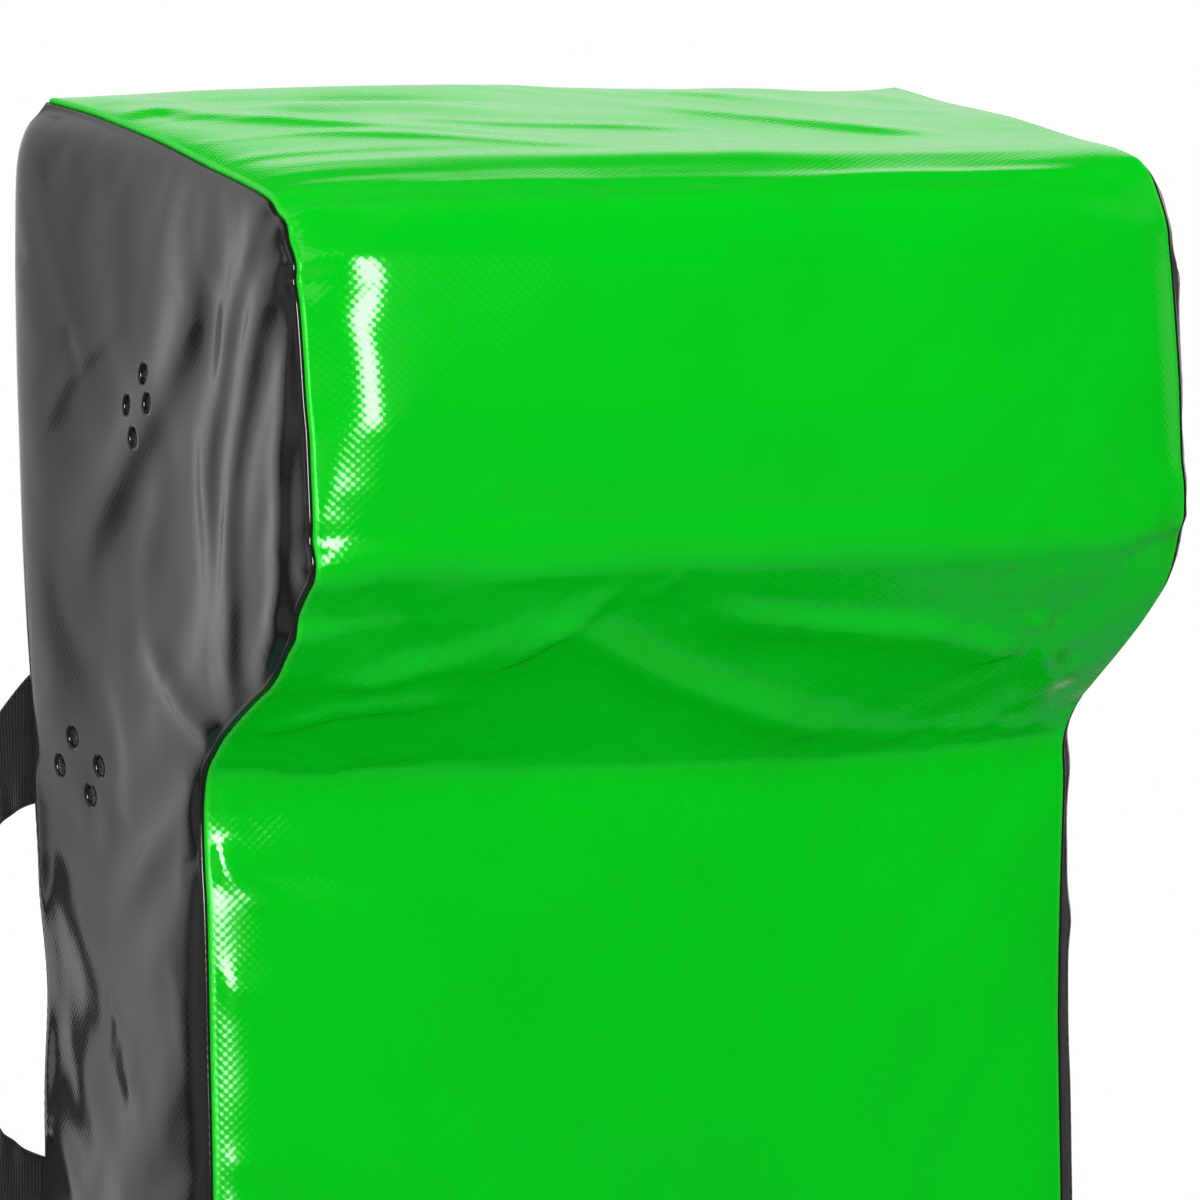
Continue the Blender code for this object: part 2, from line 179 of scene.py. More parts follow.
# ---- the outline ----------------------------------------------------------
class Outline:
    """The pad's front outline by distance s from the top back edge: points and outward normals."""

    def __init__(self):
        pts = []
        for i, (y, z, radius) in enumerate(CORNERS):
            if radius <= 0:
                pts.append((y, z))
                continue
            here = np.array([y, z])
            a = np.array(CORNERS[i - 1][:2]) - here
            b = np.array(CORNERS[i + 1][:2]) - here
            a /= np.hypot(*a)
            b /= np.hypot(*b)
            half = math.acos(float(a @ b)) / 2
            reach = radius / math.tan(half)
            mid = (a + b) / np.hypot(*(a + b))
            centre = here + mid * radius / math.sin(half)
            t0 = math.atan2(*(here + a * reach - centre)[::-1])
            t1 = math.atan2(*(here + b * reach - centre)[::-1])
            turn = (t1 - t0 + math.pi) % (2 * math.pi) - math.pi
            for k in range(61):
                t = t0 + turn * k / 60
                pts.append((centre[0] + radius * math.cos(t), centre[1] + radius * math.sin(t)))
        pts = np.array(pts)
        length = np.concatenate([[0], np.cumsum(np.hypot(*np.diff(pts, axis=0).T))])
        self.total = length[-1]
        self.s = np.linspace(0, self.total, 5200)
        self.y = np.interp(self.s, length, pts[:, 0])
        self.z = np.interp(self.s, length, pts[:, 1])
        ty, tz = np.gradient(self.y), np.gradient(self.z)
        # a normal that turns evenly over 3 mm or so, so that no facet shows
        kernel = np.hanning(15)
        kernel /= kernel.sum()
        ty = np.convolve(np.pad(ty, 7, mode="edge"), kernel, mode="valid")
        tz = np.convolve(np.pad(tz, 7, mode="edge"), kernel, mode="valid")
        l = np.hypot(ty, tz)
        self.ny, self.nz = tz / l, -ty / l

    def at(self, s):
        y, z = np.interp(s, self.s, self.y), np.interp(s, self.s, self.z)
        ny, nz = np.interp(s, self.s, self.ny), np.interp(s, self.s, self.nz)
        l = np.hypot(ny, nz)
        return y, z, ny / l, nz / l


OUT = Outline()
END = OUT.total

# How far each front seam lies outside (+) or inside (-) the plain outline, in millimetres,
# by distance s from the top back edge in metres.
LEFT_SEAM = [
    (0.000, 0.3), (0.060, 1.4), (0.130, 1.6), (0.205, -0.3), (0.260, -1.4), (0.286, -3.2), (0.300, -7.6),
    (0.312, -7.2), (0.324, -11.2), (0.341, -9.6), (0.351, -12.2), (0.362, -9.2), (0.383, -6.6), (0.405, -4.8),
    (0.423, -2.2), (0.441, -1.8), (0.458, -1.4), (0.468, -2.6), (0.478, 3.4), (0.486, 6.6), (0.498, 6.2),
    (0.510, 7.0), (0.521, 13.0), (0.534, 12.6), (0.548, 13.2), (0.560, 11.8), (0.575, 7.6), (0.592, 3.2), (0.612, -1.5),
    (0.630, -4.8), (0.650, -5.8), (0.669, -8.6), (0.688, -7.6), (0.710, -4.6), (0.740, -2.6), (0.773, -1.2),
    (0.810, 0.8), (0.843, 2.0), (0.900, 1.0), (0.950, -2.4), (1.000, -0.6), (1.060, 1.8), (1.120, -1.2), (1.180, 0.8),
    (1.240, 1.2), (1.270, 0.0), (1.2825, 0.0),
]
RIGHT_SEAM = [
    (0.000, -3.0), (0.020, -2.2), (0.060, -1.2), (0.110, 1.4), (0.150, 3.2), (0.220, 4.0), (0.263, 5.6), (0.285, 4.8), (0.299, 0.8), (0.313, -5.0),
    (0.333, -8.6), (0.347, -11.0), (0.365, -9.4), (0.379, -8.0), (0.414, -5.6), (0.443, -6.0), (0.458, -3.6),
    (0.470, -4.6), (0.484, -5.6), (0.494, -1.2), (0.504, 3.0), (0.518, 5.2), (0.544, 4.2), (0.568, 1.6),
    (0.606, -3.8), (0.630, -6.8), (0.644, -5.6), (0.655, -2.4), (0.668, -0.8), (0.698, -2.4), (0.726, -4.2),
    (0.780, -5.8), (0.810, -4.6), (0.868, -1.8), (0.920, 0.4), (0.980, -2.2), (1.050, 1.4), (1.120, 0.2),
    (1.190, -1.6), (1.240, 0.8), (1.270, 0.0), (1.2825, 0.0),
]


def seam_offset(side, s):
    return keyed(s, LEFT_SEAM if side < 0 else RIGHT_SEAM) / 1000.0


# The back corner seams: how far out sideways and back from the plain corner, in millimetres, by z.
BACK_SEAM_X = {
    -1: [(0.0, 0.0), (0.02, 1.5), (0.10, 3.2), (0.20, 1.8), (0.30, 2.0), (0.38, 1.6), (0.44, 2.0), (0.50, 0.4), (0.56, 4.4),
         (0.62, 10.4), (0.68, 14.2), (0.76, 16.6), (0.84, 18.0), (0.90, 16.8), (0.917, 15.8), (0.927, 15.4), (0.932, 13.0)],
    1: [(0.0, 0.0), (0.02, 1.2), (0.12, 2.6), (0.24, 3.4), (0.34, 1.4), (0.44, 2.8), (0.52, 1.0), (0.60, 3.0),
        (0.68, 6.4), (0.78, 9.6), (0.86, 11.6), (0.90, 11.6), (0.918, 9.8), (0.928, 7.0), (0.932, 3.0)],
}
BACK_SEAM_Y = {
    -1: [(0.0, 0.0), (0.05, 1.5), (0.30, 2.5), (0.45, 1.0), (0.60, 1.5), (0.75, 3.5), (0.86, 4.5), (0.91, 3.0), (0.932, 0.0)],
    1: [(0.0, 0.0), (0.05, 1.2), (0.30, 2.0), (0.50, 0.8), (0.65, 2.0), (0.80, 3.6), (0.90, 2.8), (0.932, 0.0)],
}
# The top back seam's height above the plain edge, in millimetres, by x.
TOP_SEAM = [(-0.215, 1.0), (-0.19, 2.2), (-0.15, 3.2), (-0.08, 3.8), (-0.02, 2.8), (0.05, 0.8), (0.12, -1.0), (0.19, -3.2), (0.215, -3.8)]


# The top back corners are drawn outwards: how far at the corner itself, in metres, and over what length it fades.
CORNER_OUT = {-1: 0.0055, 1: 0.0015}
CORNER_REACH = 0.030


EDGE_A = 2.4142 * LOBE  # where a sheet lies flat, in from the seam's line


# ---- mesh helpers ---------------------------------------------------------
def seam_edge(r=LOBE, flange=0.0026):
    """(distance in from the seam's line, depth below the sheet) from inside the seam to where the sheet lies flat."""
    angles = np.radians([135, 118, 101, 84, 67, 50, 33, 16, 0])
    a = 2.4142 * r - r * np.sin(angles)
    w = r - r * np.cos(angles)
    return np.concatenate([[a[0] + flange], a]), np.concatenate([[w[0] + flange], w])


def hem_edge(r=0.0009, flange=0.0060):
    """The same for an edge that is folded under, as beside the zip."""
    angles = np.radians([90, 60, 30, 0])
    a = r - r * np.sin(angles)
    w = r - r * np.cos(angles)
    return np.concatenate([[flange], a]), np.concatenate([[r + 0.0003], w])


def spread(low, high, start, step, stop):
    """Positions between low and high whose spacing grows from start to step and shrinks to stop."""
    out = [low]
    while out[-1] < high:
        here = out[-1]
        grow = min(start * 1.0 + 0.35 * (here - low), stop * 1.0 + 0.35 * (high - here), step)
        out.append(here + max(grow, 0.0003))
    out = np.array(out)
    return low + (out - low) * (high - low) / (out[-1] - low)


def axis(length, first, last, step, near=0.0010):
    """A sheet's grid lines across one direction: position and depth, with an edge at each end."""
    a0, w0 = first
    a1, w1 = last
    inner = spread(a0[-1], length - a1[-1], near, step, near)[1:-1]
    pos = np.concatenate([a0, inner, length - a1[::-1]])
    depth = np.concatenate([w0, np.zeros(len(inner)), w1[::-1]])
    return pos, depth


def grid_mesh(name, points, coords, flip=False):
    """A mesh from a grid of points (rows, columns, 3), with its cloth coordinates in metres."""
    rows, cols = points.shape[:2]
    index = np.arange(rows * cols).reshape(rows, cols)
    quads = np.stack([index[:-1, :-1], index[:-1, 1:], index[1:, 1:], index[1:, :-1]], -1).reshape(-1, 4)
    if flip:
        quads = quads[:, ::-1]
    return raw_mesh(name, points.reshape(-1, 3), quads, coords.reshape(-1, coords.shape[-1]))


def raw_mesh(name, points, faces, coords=None):
    mesh = bpy.data.meshes.new(name)
    faces = [list(map(int, f)) for f in faces] if not isinstance(faces, np.ndarray) else faces.tolist()
    mesh.from_pydata(points.tolist(), [], faces)
    if coords is not None:
        if coords.shape[-1] == 2:
            coords = np.concatenate([coords, np.zeros((len(coords), 1))], 1)
        layer = mesh.attributes.new("cloth", "FLOAT_VECTOR", "POINT")
        layer.data.foreach_set("vector", coords.astype(np.float32).ravel())
    mesh.validate()
    mesh.shade_smooth()
    return mesh


def piece(name, mesh, mat, body=PAD, stands_for=()):
    obj = bpy.data.objects.new(name, mesh)
    bpy.context.scene.collection.objects.link(obj)
    if mat is not None:
        obj.data.materials.clear()
        obj.data.materials.append(mat)
    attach(obj, body)
    if stands_for:
        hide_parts(*stands_for)
    return obj


# ---- materials ------------------------------------------------------------
class Nodes:
    """Short calls for building a node tree."""

    def __init__(self, name):
        self.mat = bpy.data.materials.new(name)
        self.mat.use_nodes = True
        self.tree = self.mat.node_tree
        self.tree.nodes.clear()
        self.out = self.add("ShaderNodeOutputMaterial")
        self.bsdf = self.add("ShaderNodeBsdfPrincipled")
        self.tree.links.new(self.bsdf.outputs[0], self.out.inputs["Surface"])

    def add(self, kind, **props):
        node = self.tree.nodes.new(kind)
        for key, value in props.items():
            setattr(node, key, value)
        return node

    def plug(self, socket, value):
        if isinstance(value, bpy.types.NodeSocket):
            self.tree.links.new(value, socket)
        elif isinstance(value, (tuple, list)) and len(value) == 3 and socket.type == "RGBA":
            socket.default_value = (*value, 1.0)
        else:
            socket.default_value = value

    def math(self, op, a, b=0.0, c=None, clamp=False):
        node = self.add("ShaderNodeMath", operation=op, use_clamp=clamp)
        self.plug(node.inputs[0], a)
        self.plug(node.inputs[1], b)
        if c is not None:
            self.plug(node.inputs[2], c)
        return node.outputs[0]

    def noise(self, vector, scale, detail=2.0, rough=0.5, distortion=0.0):
        node = self.add("ShaderNodeTexNoise")
        self.plug(node.inputs["Vector"], vector)
        node.inputs["Scale"].default_value = scale
        node.inputs["Detail"].default_value = detail
        node.inputs["Roughness"].default_value = rough
        node.inputs["Distortion"].default_value = distortion
        return node.outputs[0]

    def ramp(self, value, low, high, to_low=0.0, to_high=1.0, smooth=True):
        node = self.add("ShaderNodeMapRange", interpolation_type="SMOOTHSTEP" if smooth else "LINEAR")
        self.plug(node.inputs[0], value)
        for i, v in enumerate((low, high, to_low, to_high), 1):
            self.plug(node.inputs[i], v)
        return node.outputs[0]

    def mix(self, factor, a, b):
        node = self.add("ShaderNodeMix", data_type="RGBA")
        self.plug(node.inputs[0], factor)
        self.plug(node.inputs[6], a)
        self.plug(node.inputs[7], b)
        return node.outputs[2]

    def cloth(self):
        return self.add("ShaderNodeAttribute", attribute_name="cloth").outputs["Vector"]

    def split(self, vector):
        node = self.add("ShaderNodeSeparateXYZ")
        self.plug(node.inputs[0], vector)
        return node.outputs

    def bump(self, height, distance, strength=1.0, normal=None):
        node = self.add("ShaderNodeBump")
        node.inputs["Distance"].default_value = distance
        node.inputs["Strength"].default_value = strength
        self.plug(node.inputs["Height"], height)
        if normal is not None:
            self.plug(node.inputs["Normal"], normal)
        return node.outputs[0]

    def set(self, **values):
        names = {"color": "Base Color", "rough": "Roughness", "metal": "Metallic", "ior": "IOR", "coat": "Coat Weight",
                 "coat_rough": "Coat Roughness", "sheen": "Sheen Weight", "sheen_rough": "Sheen Roughness",
                 "normal": "Normal", "specular": "Specular IOR Level", "coat_normal": "Coat Normal"}
        for key, value in values.items():
            self.plug(self.bsdf.inputs[names[key]], value)
        return self.mat


def woven(n, cloth, pitch):
    """Height from 0 to 1 of a plain weave that shows through a coating."""
    x, y, _ = n.split(cloth)
    turn = 2 * math.pi / pitch
    a = n.math("SINE", n.math("MULTIPLY", x, turn))
    b = n.math("SINE", n.math("MULTIPLY", y, turn))
    return n.math("MULTIPLY_ADD", n.math("MULTIPLY", a, b), 0.5, 0.5)


def pvc(name, color, worn, rough, weave=0.00006, specular=0.5, dull_edge=0.0):
    """PVC-coated polyester: a glossy film over a 2 mm woven scrim."""
    n = Nodes(name)
    cloth = n.cloth()
    height = woven(n, cloth, 0.0042)
    ripple = n.noise(cloth, 55.0, 3.0, 0.55)
    grain = n.noise(cloth, 900.0, 1.0)
    both = n.math("MULTIPLY_ADD", ripple, 1.1, n.math("MULTIPLY_ADD", grain, 0.12, height))
    patchy = n.noise(cloth, 9.0, 4.0, 0.6)
    scuff = n.ramp(n.noise(cloth, 26.0, 6.0, 0.68, 0.6), 0.60, 0.78)
    edge = n.math("MULTIPLY", n.ramp(n.math("ABSOLUTE", n.split(cloth)[0]), HALF_W - 0.0055, HALF_W - 0.0025), dull_edge)
    n.set(
        color=n.mix(n.math("MULTIPLY", scuff, 0.35), n.mix(n.ramp(patchy, 0.3, 0.7), color, tuple(c * 0.94 for c in color)), worn),
        rough=n.math("ADD", n.math("MULTIPLY_ADD", scuff, 0.10, n.math("MULTIPLY_ADD", patchy, 0.08, rough)), edge),
        normal=n.bump(both, weave),
        specular=specular,
    )
    return n.mat


def webbing_material(name, color, rough=0.85):
    """Woven polypropylene webbing: rows of little V stitches along the strap."""
    n = Nodes(name)
    cloth = n.cloth()
    x, y, _ = n.split(cloth)
    turn = 2 * math.pi
    rib = n.math("ABSOLUTE", n.math("SINE", n.math("MULTIPLY", x, turn / 0.0034)))
    slant = n.math("ADD", n.math("MULTIPLY", y, turn / 0.0021), n.math("MULTIPLY", rib, 1.6))
    bead = n.math("MULTIPLY_ADD", n.math("SINE", slant), 0.5, 0.5)
    height = n.math("MULTIPLY", bead, n.math("MULTIPLY_ADD", rib, 0.7, 0.3))
    fuzz = n.noise(cloth, 1600.0, 2.0)
    tone = n.math("MULTIPLY_ADD", height, 0.7, n.math("MULTIPLY", fuzz, 0.3))
    n.set(
        color=n.mix(tone, tuple(c * 0.45 for c in color), tuple(c * 1.45 for c in color)),
        rough=rough,
        normal=n.bump(n.math("MULTIPLY_ADD", fuzz, 0.3, height), 0.00035),
        sheen=0.25,
        sheen_rough=0.5,
        specular=0.3,
    )
    return n.mat


def thread_material(name, color):
    """Twisted polyester thread."""
    n = Nodes(name)
    cloth = n.cloth()
    x, y, _ = n.split(cloth)
    twist = n.math("SINE", n.math("ADD", n.math("MULTIPLY", x, 2 * math.pi / 0.0008), n.math("MULTIPLY", y, 2 * math.pi / 0.0011)))
    tone = n.math("MULTIPLY_ADD", twist, 0.5, 0.5)
    n.set(color=n.mix(tone, tuple(c * 0.6 for c in color), tuple(c * 1.3 for c in color)), rough=0.55,
          normal=n.bump(tone, 0.0001), specular=0.4)
    return n.mat


def tape_material(name, color):
    """Zip tape: a fine herringbone of polyester yarn, in metres."""
    n = Nodes(name)
    cloth = n.cloth()
    x, y, _ = n.split(cloth)
    zag = n.math("ABSOLUTE", n.math("SUBTRACT", n.math("FRACT", n.math("MULTIPLY", x, 1 / 0.0024)), 0.5))
    rows = n.math("SINE", n.math("MULTIPLY", n.math("ADD", n.math("MULTIPLY", y, 1 / 0.0009), n.math("MULTIPLY", zag, 2.4)), 2 * math.pi))
    height = n.math("MULTIPLY_ADD", rows, 0.5, 0.5)
    fuzz = n.noise(cloth, 2200.0, 2.0)
    n.set(
        color=n.mix(n.math("MULTIPLY_ADD", fuzz, 0.4, n.math("MULTIPLY", height, 0.6)), tuple(c * 0.5 for c in color), tuple(c * 1.5 for c in color)),
        rough=0.8, normal=n.bump(height, 0.00012), sheen=0.2, sheen_rough=0.5, specular=0.3,
    )
    return n.mat


def moulded(name, color, rough):
    """Moulded plastic with a faint grain, rubbed paler in patches."""
    n = Nodes(name)
    at = n.add("ShaderNodeTexCoord").outputs["Object"]
    grain = n.noise(at, 1800.0, 2.0)
    rub = n.ramp(n.noise(at, 120.0, 4.0, 0.65), 0.50, 0.75)
    n.set(
        color=n.mix(n.math("MULTIPLY", rub, 0.5), color, tuple(c * 2.2 + 0.01 for c in color)),
        rough=n.math("MULTIPLY_ADD", rub, 0.18, rough), normal=n.bump(grain, 0.00005), specular=0.5,
    )
    return n.mat


def plated(name, color, rough):
    """Plated zinc: brushed one way, with fine scratches and dull spots."""
    n = Nodes(name)
    at = n.add("ShaderNodeTexCoord").outputs["Object"]
    stretch = n.add("ShaderNodeMapping")
    n.plug(stretch.inputs["Vector"], at)
    stretch.inputs["Scale"].default_value = (1.0, 1.0, 0.06)
    brushed = n.noise(stretch.outputs[0], 4200.0, 2.0)
    dull = n.ramp(n.noise(at, 260.0, 4.0, 0.65), 0.48, 0.72)
    n.set(
        color=n.mix(dull, color, tuple(c * 0.62 for c in color)), metal=1.0,
        rough=n.math("MULTIPLY_ADD", dull, 0.22, n.math("MULTIPLY_ADD", brushed, 0.10, rough)),
        normal=n.bump(brushed, 0.00002),
    )
    return n.mat


GREEN = pvc("green_pvc", (0.0, 0.585, 0.010), (0.004, 0.56, 0.016), 0.10, dull_edge=0.40)
BLACK = pvc("black_pvc", (0.0115, 0.0112, 0.0100), (0.022, 0.022, 0.021), 0.09, weave=0.000018)
WEB = webbing_material("webbing", (0.0055, 0.0055, 0.0052))
THREAD = thread_material("thread", (0.020, 0.020, 0.019))
TAPE = tape_material("zip_tape", (0.014, 0.014, 0.014))
TEETH = moulded("zip_teeth", (0.018, 0.018, 0.018), 0.30)
METAL = plated("zip_metal", (0.42, 0.42, 0.43), 0.22)


# ---- camera ---------------------------------------------------------------
camera_data = bpy.data.cameras.new("camera")
camera = bpy.data.objects.new("camera", camera_data)
bpy.context.scene.collection.objects.link(camera)
camera_data.sensor_width = 36.0
camera_data.lens = 338.73
camera.location = (-1.96003, -4.89908, 1.20480)
camera.rotation_euler = (math.radians(84.5), 0.0, math.radians(-22.0))
bpy.context.scene.camera = camera

# ---- light ----------------------------------------------------------------
bpy.context.scene.view_settings.view_transform = "Standard"
bpy.context.scene.view_settings.look = "None"
WALL, GROUND, BOXES, ROOM, FLOOR_BOUNCE = 0.74, 0.30, 0.9, 0.005, 0.80
STRIP, FLANKS = 22.0, 0.30
world = bpy.data.worlds.new("studio")
bpy.context.scene.world = world
world.use_nodes = True
wt = world.node_tree
wt.nodes.clear()


def wnode(kind, **props):
    node = wt.nodes.new(kind)
    for key, value in props.items():
        setattr(node, key, value)
    return node


def wmath(op, a, b=0.0, clamp=False):
    node = wnode("ShaderNodeMath", operation=op, use_clamp=clamp)
    for socket, value in zip(node.inputs, (a, b)):
        if isinstance(value, bpy.types.NodeSocket):
            wt.links.new(value, socket)
        else:
            socket.default_value = value
    return node.outputs[0]


def wramp(value, low, high, to_low, to_high):
    node = wnode("ShaderNodeMapRange", interpolation_type="SMOOTHSTEP")
    wt.links.new(value, node.inputs[0])
    for i, v in enumerate((low, high, to_low, to_high), 1):
        node.inputs[i].default_value = v
    return node.outputs[0]


direction = wnode("ShaderNodeTexCoord").outputs["Generated"]
parts_of = wnode("ShaderNodeSeparateXYZ")
wt.links.new(direction, parts_of.inputs[0])
dx, dy, dz = parts_of.outputs
# a white wall behind the pad that ends a little above it, and a dark room on the photographer's side
low = wramp(dz, -0.125, -0.095, 1.0, 0.0)  # what the lower half mirrors: the wall narrows there, and has a dark gap
wall = wramp(wmath("SUBTRACT", dy, wmath("MULTIPLY", low, 0.10)), 0.46, 0.75, 0.04, 1.0)
wall_top = wmath("SUBTRACT", dz, wramp(dx, -0.10, 0.04, 0.90, 0.0))
wall = wmath("MULTIPLY", wall, wmath("MULTIPLY", wramp(wall_top, 0.32, 0.44, 1.0, 0.0), wramp(dz, -0.70, -0.45, 0.0, 1.0)))
gap = wmath("MULTIPLY", wramp(dx, -0.12, -0.09, 0.0, 1.0), wramp(dx, 0.16, 0.19, 1.0, 0.0))
wall = wmath("MULTIPLY", wall, wmath("SUBTRACT", 1.0, wmath("MULTIPLY", wmath("MULTIPLY", gap, low), 0.95)))
wall = wmath("MAXIMUM", wall, wmath("MULTIPLY", wmath("SUBTRACT", 0.26, wmath("MULTIPLY", low, 0.26)), wmath("MULTIPLY", wramp(dy, -0.1, 0.3, 0.0, 1.0), wramp(dx, -0.5, -0.3, 1.0, 0.0))))
# a tall strip light in front on the left, and dim walls at both sides
strip = wmath("MULTIPLY", wmath("MULTIPLY", wramp(dx, -0.50, -0.42, 0.0, 1.0), wramp(dx, -0.18, -0.12, 1.0, 0.0)), wramp(dy, -0.7, -0.6, 1.0, 0.0))
strip = wmath("MULTIPLY", strip, wmath("MULTIPLY", wramp(dz, -0.06, 0.09, 0.01, 1.0), wmath("MULTIPLY", wramp(dz, -0.40, -0.25, 0.0, 1.0), wramp(dz, 0.44, 0.54, 1.0, 0.0))))
patch = wmath("MULTIPLY", wmath("MULTIPLY", wramp(dx, -0.45, -0.35, 0.0, 1.0), wramp(dx, -0.10, 0.05, 1.0, 0.0)), wramp(dy, -0.7, -0.6, 1.0, 0.0))
strip = wmath("MAXIMUM", strip, wmath("MULTIPLY", patch, wmath("MULTIPLY", wramp(dz, -0.10, -0.02, 0.0, 0.11), wramp(dz, 0.03, 0.10, 1.0, 0.0))))
flanks = wmath("MULTIPLY", wramp(wmath("ABSOLUTE", dx), 0.50, 0.80, 0.0, 1.0), wmath("MULTIPLY", wramp(dz, -0.60, -0.35, 0.0, 1.0), wramp(dz, 0.05, 0.25, 1.0, 0.0)))
flanks = wmath("MULTIPLY", flanks, wmath("MULTIPLY", wramp(dy, 0.30, 0.60, 1.0, 0.0), wmath("MAXIMUM", wramp(dx, -0.2, 0.0, 1.0, 0.0), wramp(dy, -0.10, 0.0, 0.0, 1.0))))
ground = wmath("MULTIPLY", wramp(dz, -0.62, -0.50, 1.0, 0.0), wramp(dy, -1.0, -0.5, 0.3, 1.0))
# the floor in front of the pad takes the pad's green; to the sides and behind it stays grey
green_floor = wmath("MULTIPLY", wramp(wmath("ABSOLUTE", dx), 0.60, 0.76, 1.0, 0.0), wramp(dy, -0.75, -0.55, 0.0, 1.0))
grey_floor = wmath("MULTIPLY", ground, wmath("SUBTRACT", 1.0, green_floor))
ground = wmath("MULTIPLY", ground, green_floor)
# a soft box up on the left, out of the photographer's reflections
boxes = wmath("MULTIPLY", wramp(dx, -0.58, -0.50, 1.0, 0.0), wmath("MULTIPLY", wramp(dz, 0.34, 0.40, 0.0, 1.0), wramp(dz, 0.78, 0.84, 1.0, 0.0)))
boxes = wmath("MULTIPLY", boxes, wramp(wmath("ABSOLUTE", dy), 0.42, 0.50, 1.0, 0.0))
gloss = wmath("ADD", wmath("MULTIPLY", wall, WALL), wmath("MULTIPLY", boxes, BOXES))
gloss = wmath("ADD", gloss, wmath("ADD", wmath("MULTIPLY", strip, STRIP), wmath("MULTIPLY", flanks, FLANKS)))
gloss = wmath("ADD", gloss, wmath("MULTIPLY", grey_floor, 0.10))
gloss = wmath("ADD", gloss, ROOM)
# what lights the pad evenly: the wall, the ceiling and the floor
even = wmath("ADD", wmath("MULTIPLY", wramp(dy, -0.2, 1.0, 0.0, 1.0), 0.35), wmath("ADD", wramp(dz, 0.0, 1.0, 0.0, 0.30), wmath("MULTIPLY", wramp(dz, -1.0, -0.45, 0.30, 1.0), wramp(dz, -0.45, 0.0, FLOOR_BOUNCE, 0.10))))


def background(strength, color=(1.0, 1.0, 1.0)):
    node = wnode("ShaderNodeBackground")
    node.inputs[0].default_value = (*color, 1.0)
    if isinstance(strength, bpy.types.NodeSocket):
        wt.links.new(strength, node.inputs[1])
    else:
        node.inputs[1].default_value = strength
    return node.outputs[0]


def choose(factor, a, b):
    node = wnode("ShaderNodeMixShader")
    for socket, value in zip(node.inputs, (factor, a, b)):
        wt.links.new(value, socket)
    return node.outputs[0]


rays = wnode("ShaderNodeLightPath").outputs
both = wnode("ShaderNodeAddShader")
wt.links.new(background(gloss), both.inputs[0])
wt.links.new(background(wmath("MULTIPLY", ground, GROUND), (0.30, 0.95, 0.70)), both.inputs[1])
shine = both.outputs[0]
wt.links.new(
    choose(rays["Is Camera Ray"], choose(rays["Is Glossy Ray"], background(even), shine), background(1.0)),
    wnode("ShaderNodeOutputWorld").inputs[0],
)


def lamp(name, azimuth, elevation, distance, size, power, aim=(0.0, 0.0, 0.6), shine=False):
    """A soft box seen from the pad at that azimuth (0 is -Y, 90 is +X) and elevation."""
    data = bpy.data.lights.new(name, "AREA")
    data.shape = "RECTANGLE"
    data.size, data.size_y = size
    data.energy = power
    obj = bpy.data.objects.new(name, data)
    bpy.context.scene.collection.objects.link(obj)
    a, e = math.radians(azimuth), math.radians(elevation)
    way = Vector((math.sin(a) * math.cos(e), -math.cos(a) * math.cos(e), math.sin(e)))
    obj.location = Vector(aim) + way * distance
    obj.rotation_euler = way.to_track_quat("Z", "Y").to_euler()
    obj.visible_glossy = shine
    return obj


lamp("key_front", -10, 27, 3.6, (2.6, 2.0), 60, aim=(0.0, 0.0, 0.45))
lamp("front_left", -20, 8, 4.2, (0.55, 1.9), 46)
lamp("side_right", 95, 40, 3.4, (1.6, 1.6), 45)
lamp("side_left", -95, 45, 3.4, (1.6, 1.6), 30)
lamp("back", 178, 45, 3.4, (2.2, 1.6), 60)

# ---- floor ----------------------------------------------------------------
n = Nodes("floor")
place = n.add("ShaderNodeTexCoord").outputs["Object"]
px, py, _ = n.split(place)
radius = n.math("SQRT", n.math("ADD", n.math("MULTIPLY", px, px), n.math("MULTIPLY", py, py)))
n.set(color=(0.86, 0.86, 0.86), rough=0.55, specular=0.2)
far = n.add("ShaderNodeEmission")
far.inputs[0].default_value = (1.0, 1.0, 1.0, 1.0)
blend = n.add("ShaderNodeMixShader")
n.plug(blend.inputs[0], n.ramp(radius, 0.9, 2.4))
n.tree.links.new(n.bsdf.outputs[0], blend.inputs[1])
n.tree.links.new(far.outputs[0], blend.inputs[2])
n.tree.links.new(blend.outputs[0], n.out.inputs["Surface"])
bm = bmesh.new()
bmesh.ops.create_circle(bm, cap_ends=True, segments=96, radius=2.6)
floor_mesh = bpy.data.meshes.new("floor")
bm.to_mesh(floor_mesh)
bm.free()
floor_mesh.materials.append(n.mat)
floor = bpy.data.objects.new("floor", floor_mesh)
bpy.context.scene.collection.objects.link(floor)
floor.location.z = -0.0005
floor.visible_glossy = floor.visible_diffuse = False  # the world's lower half stands in for it


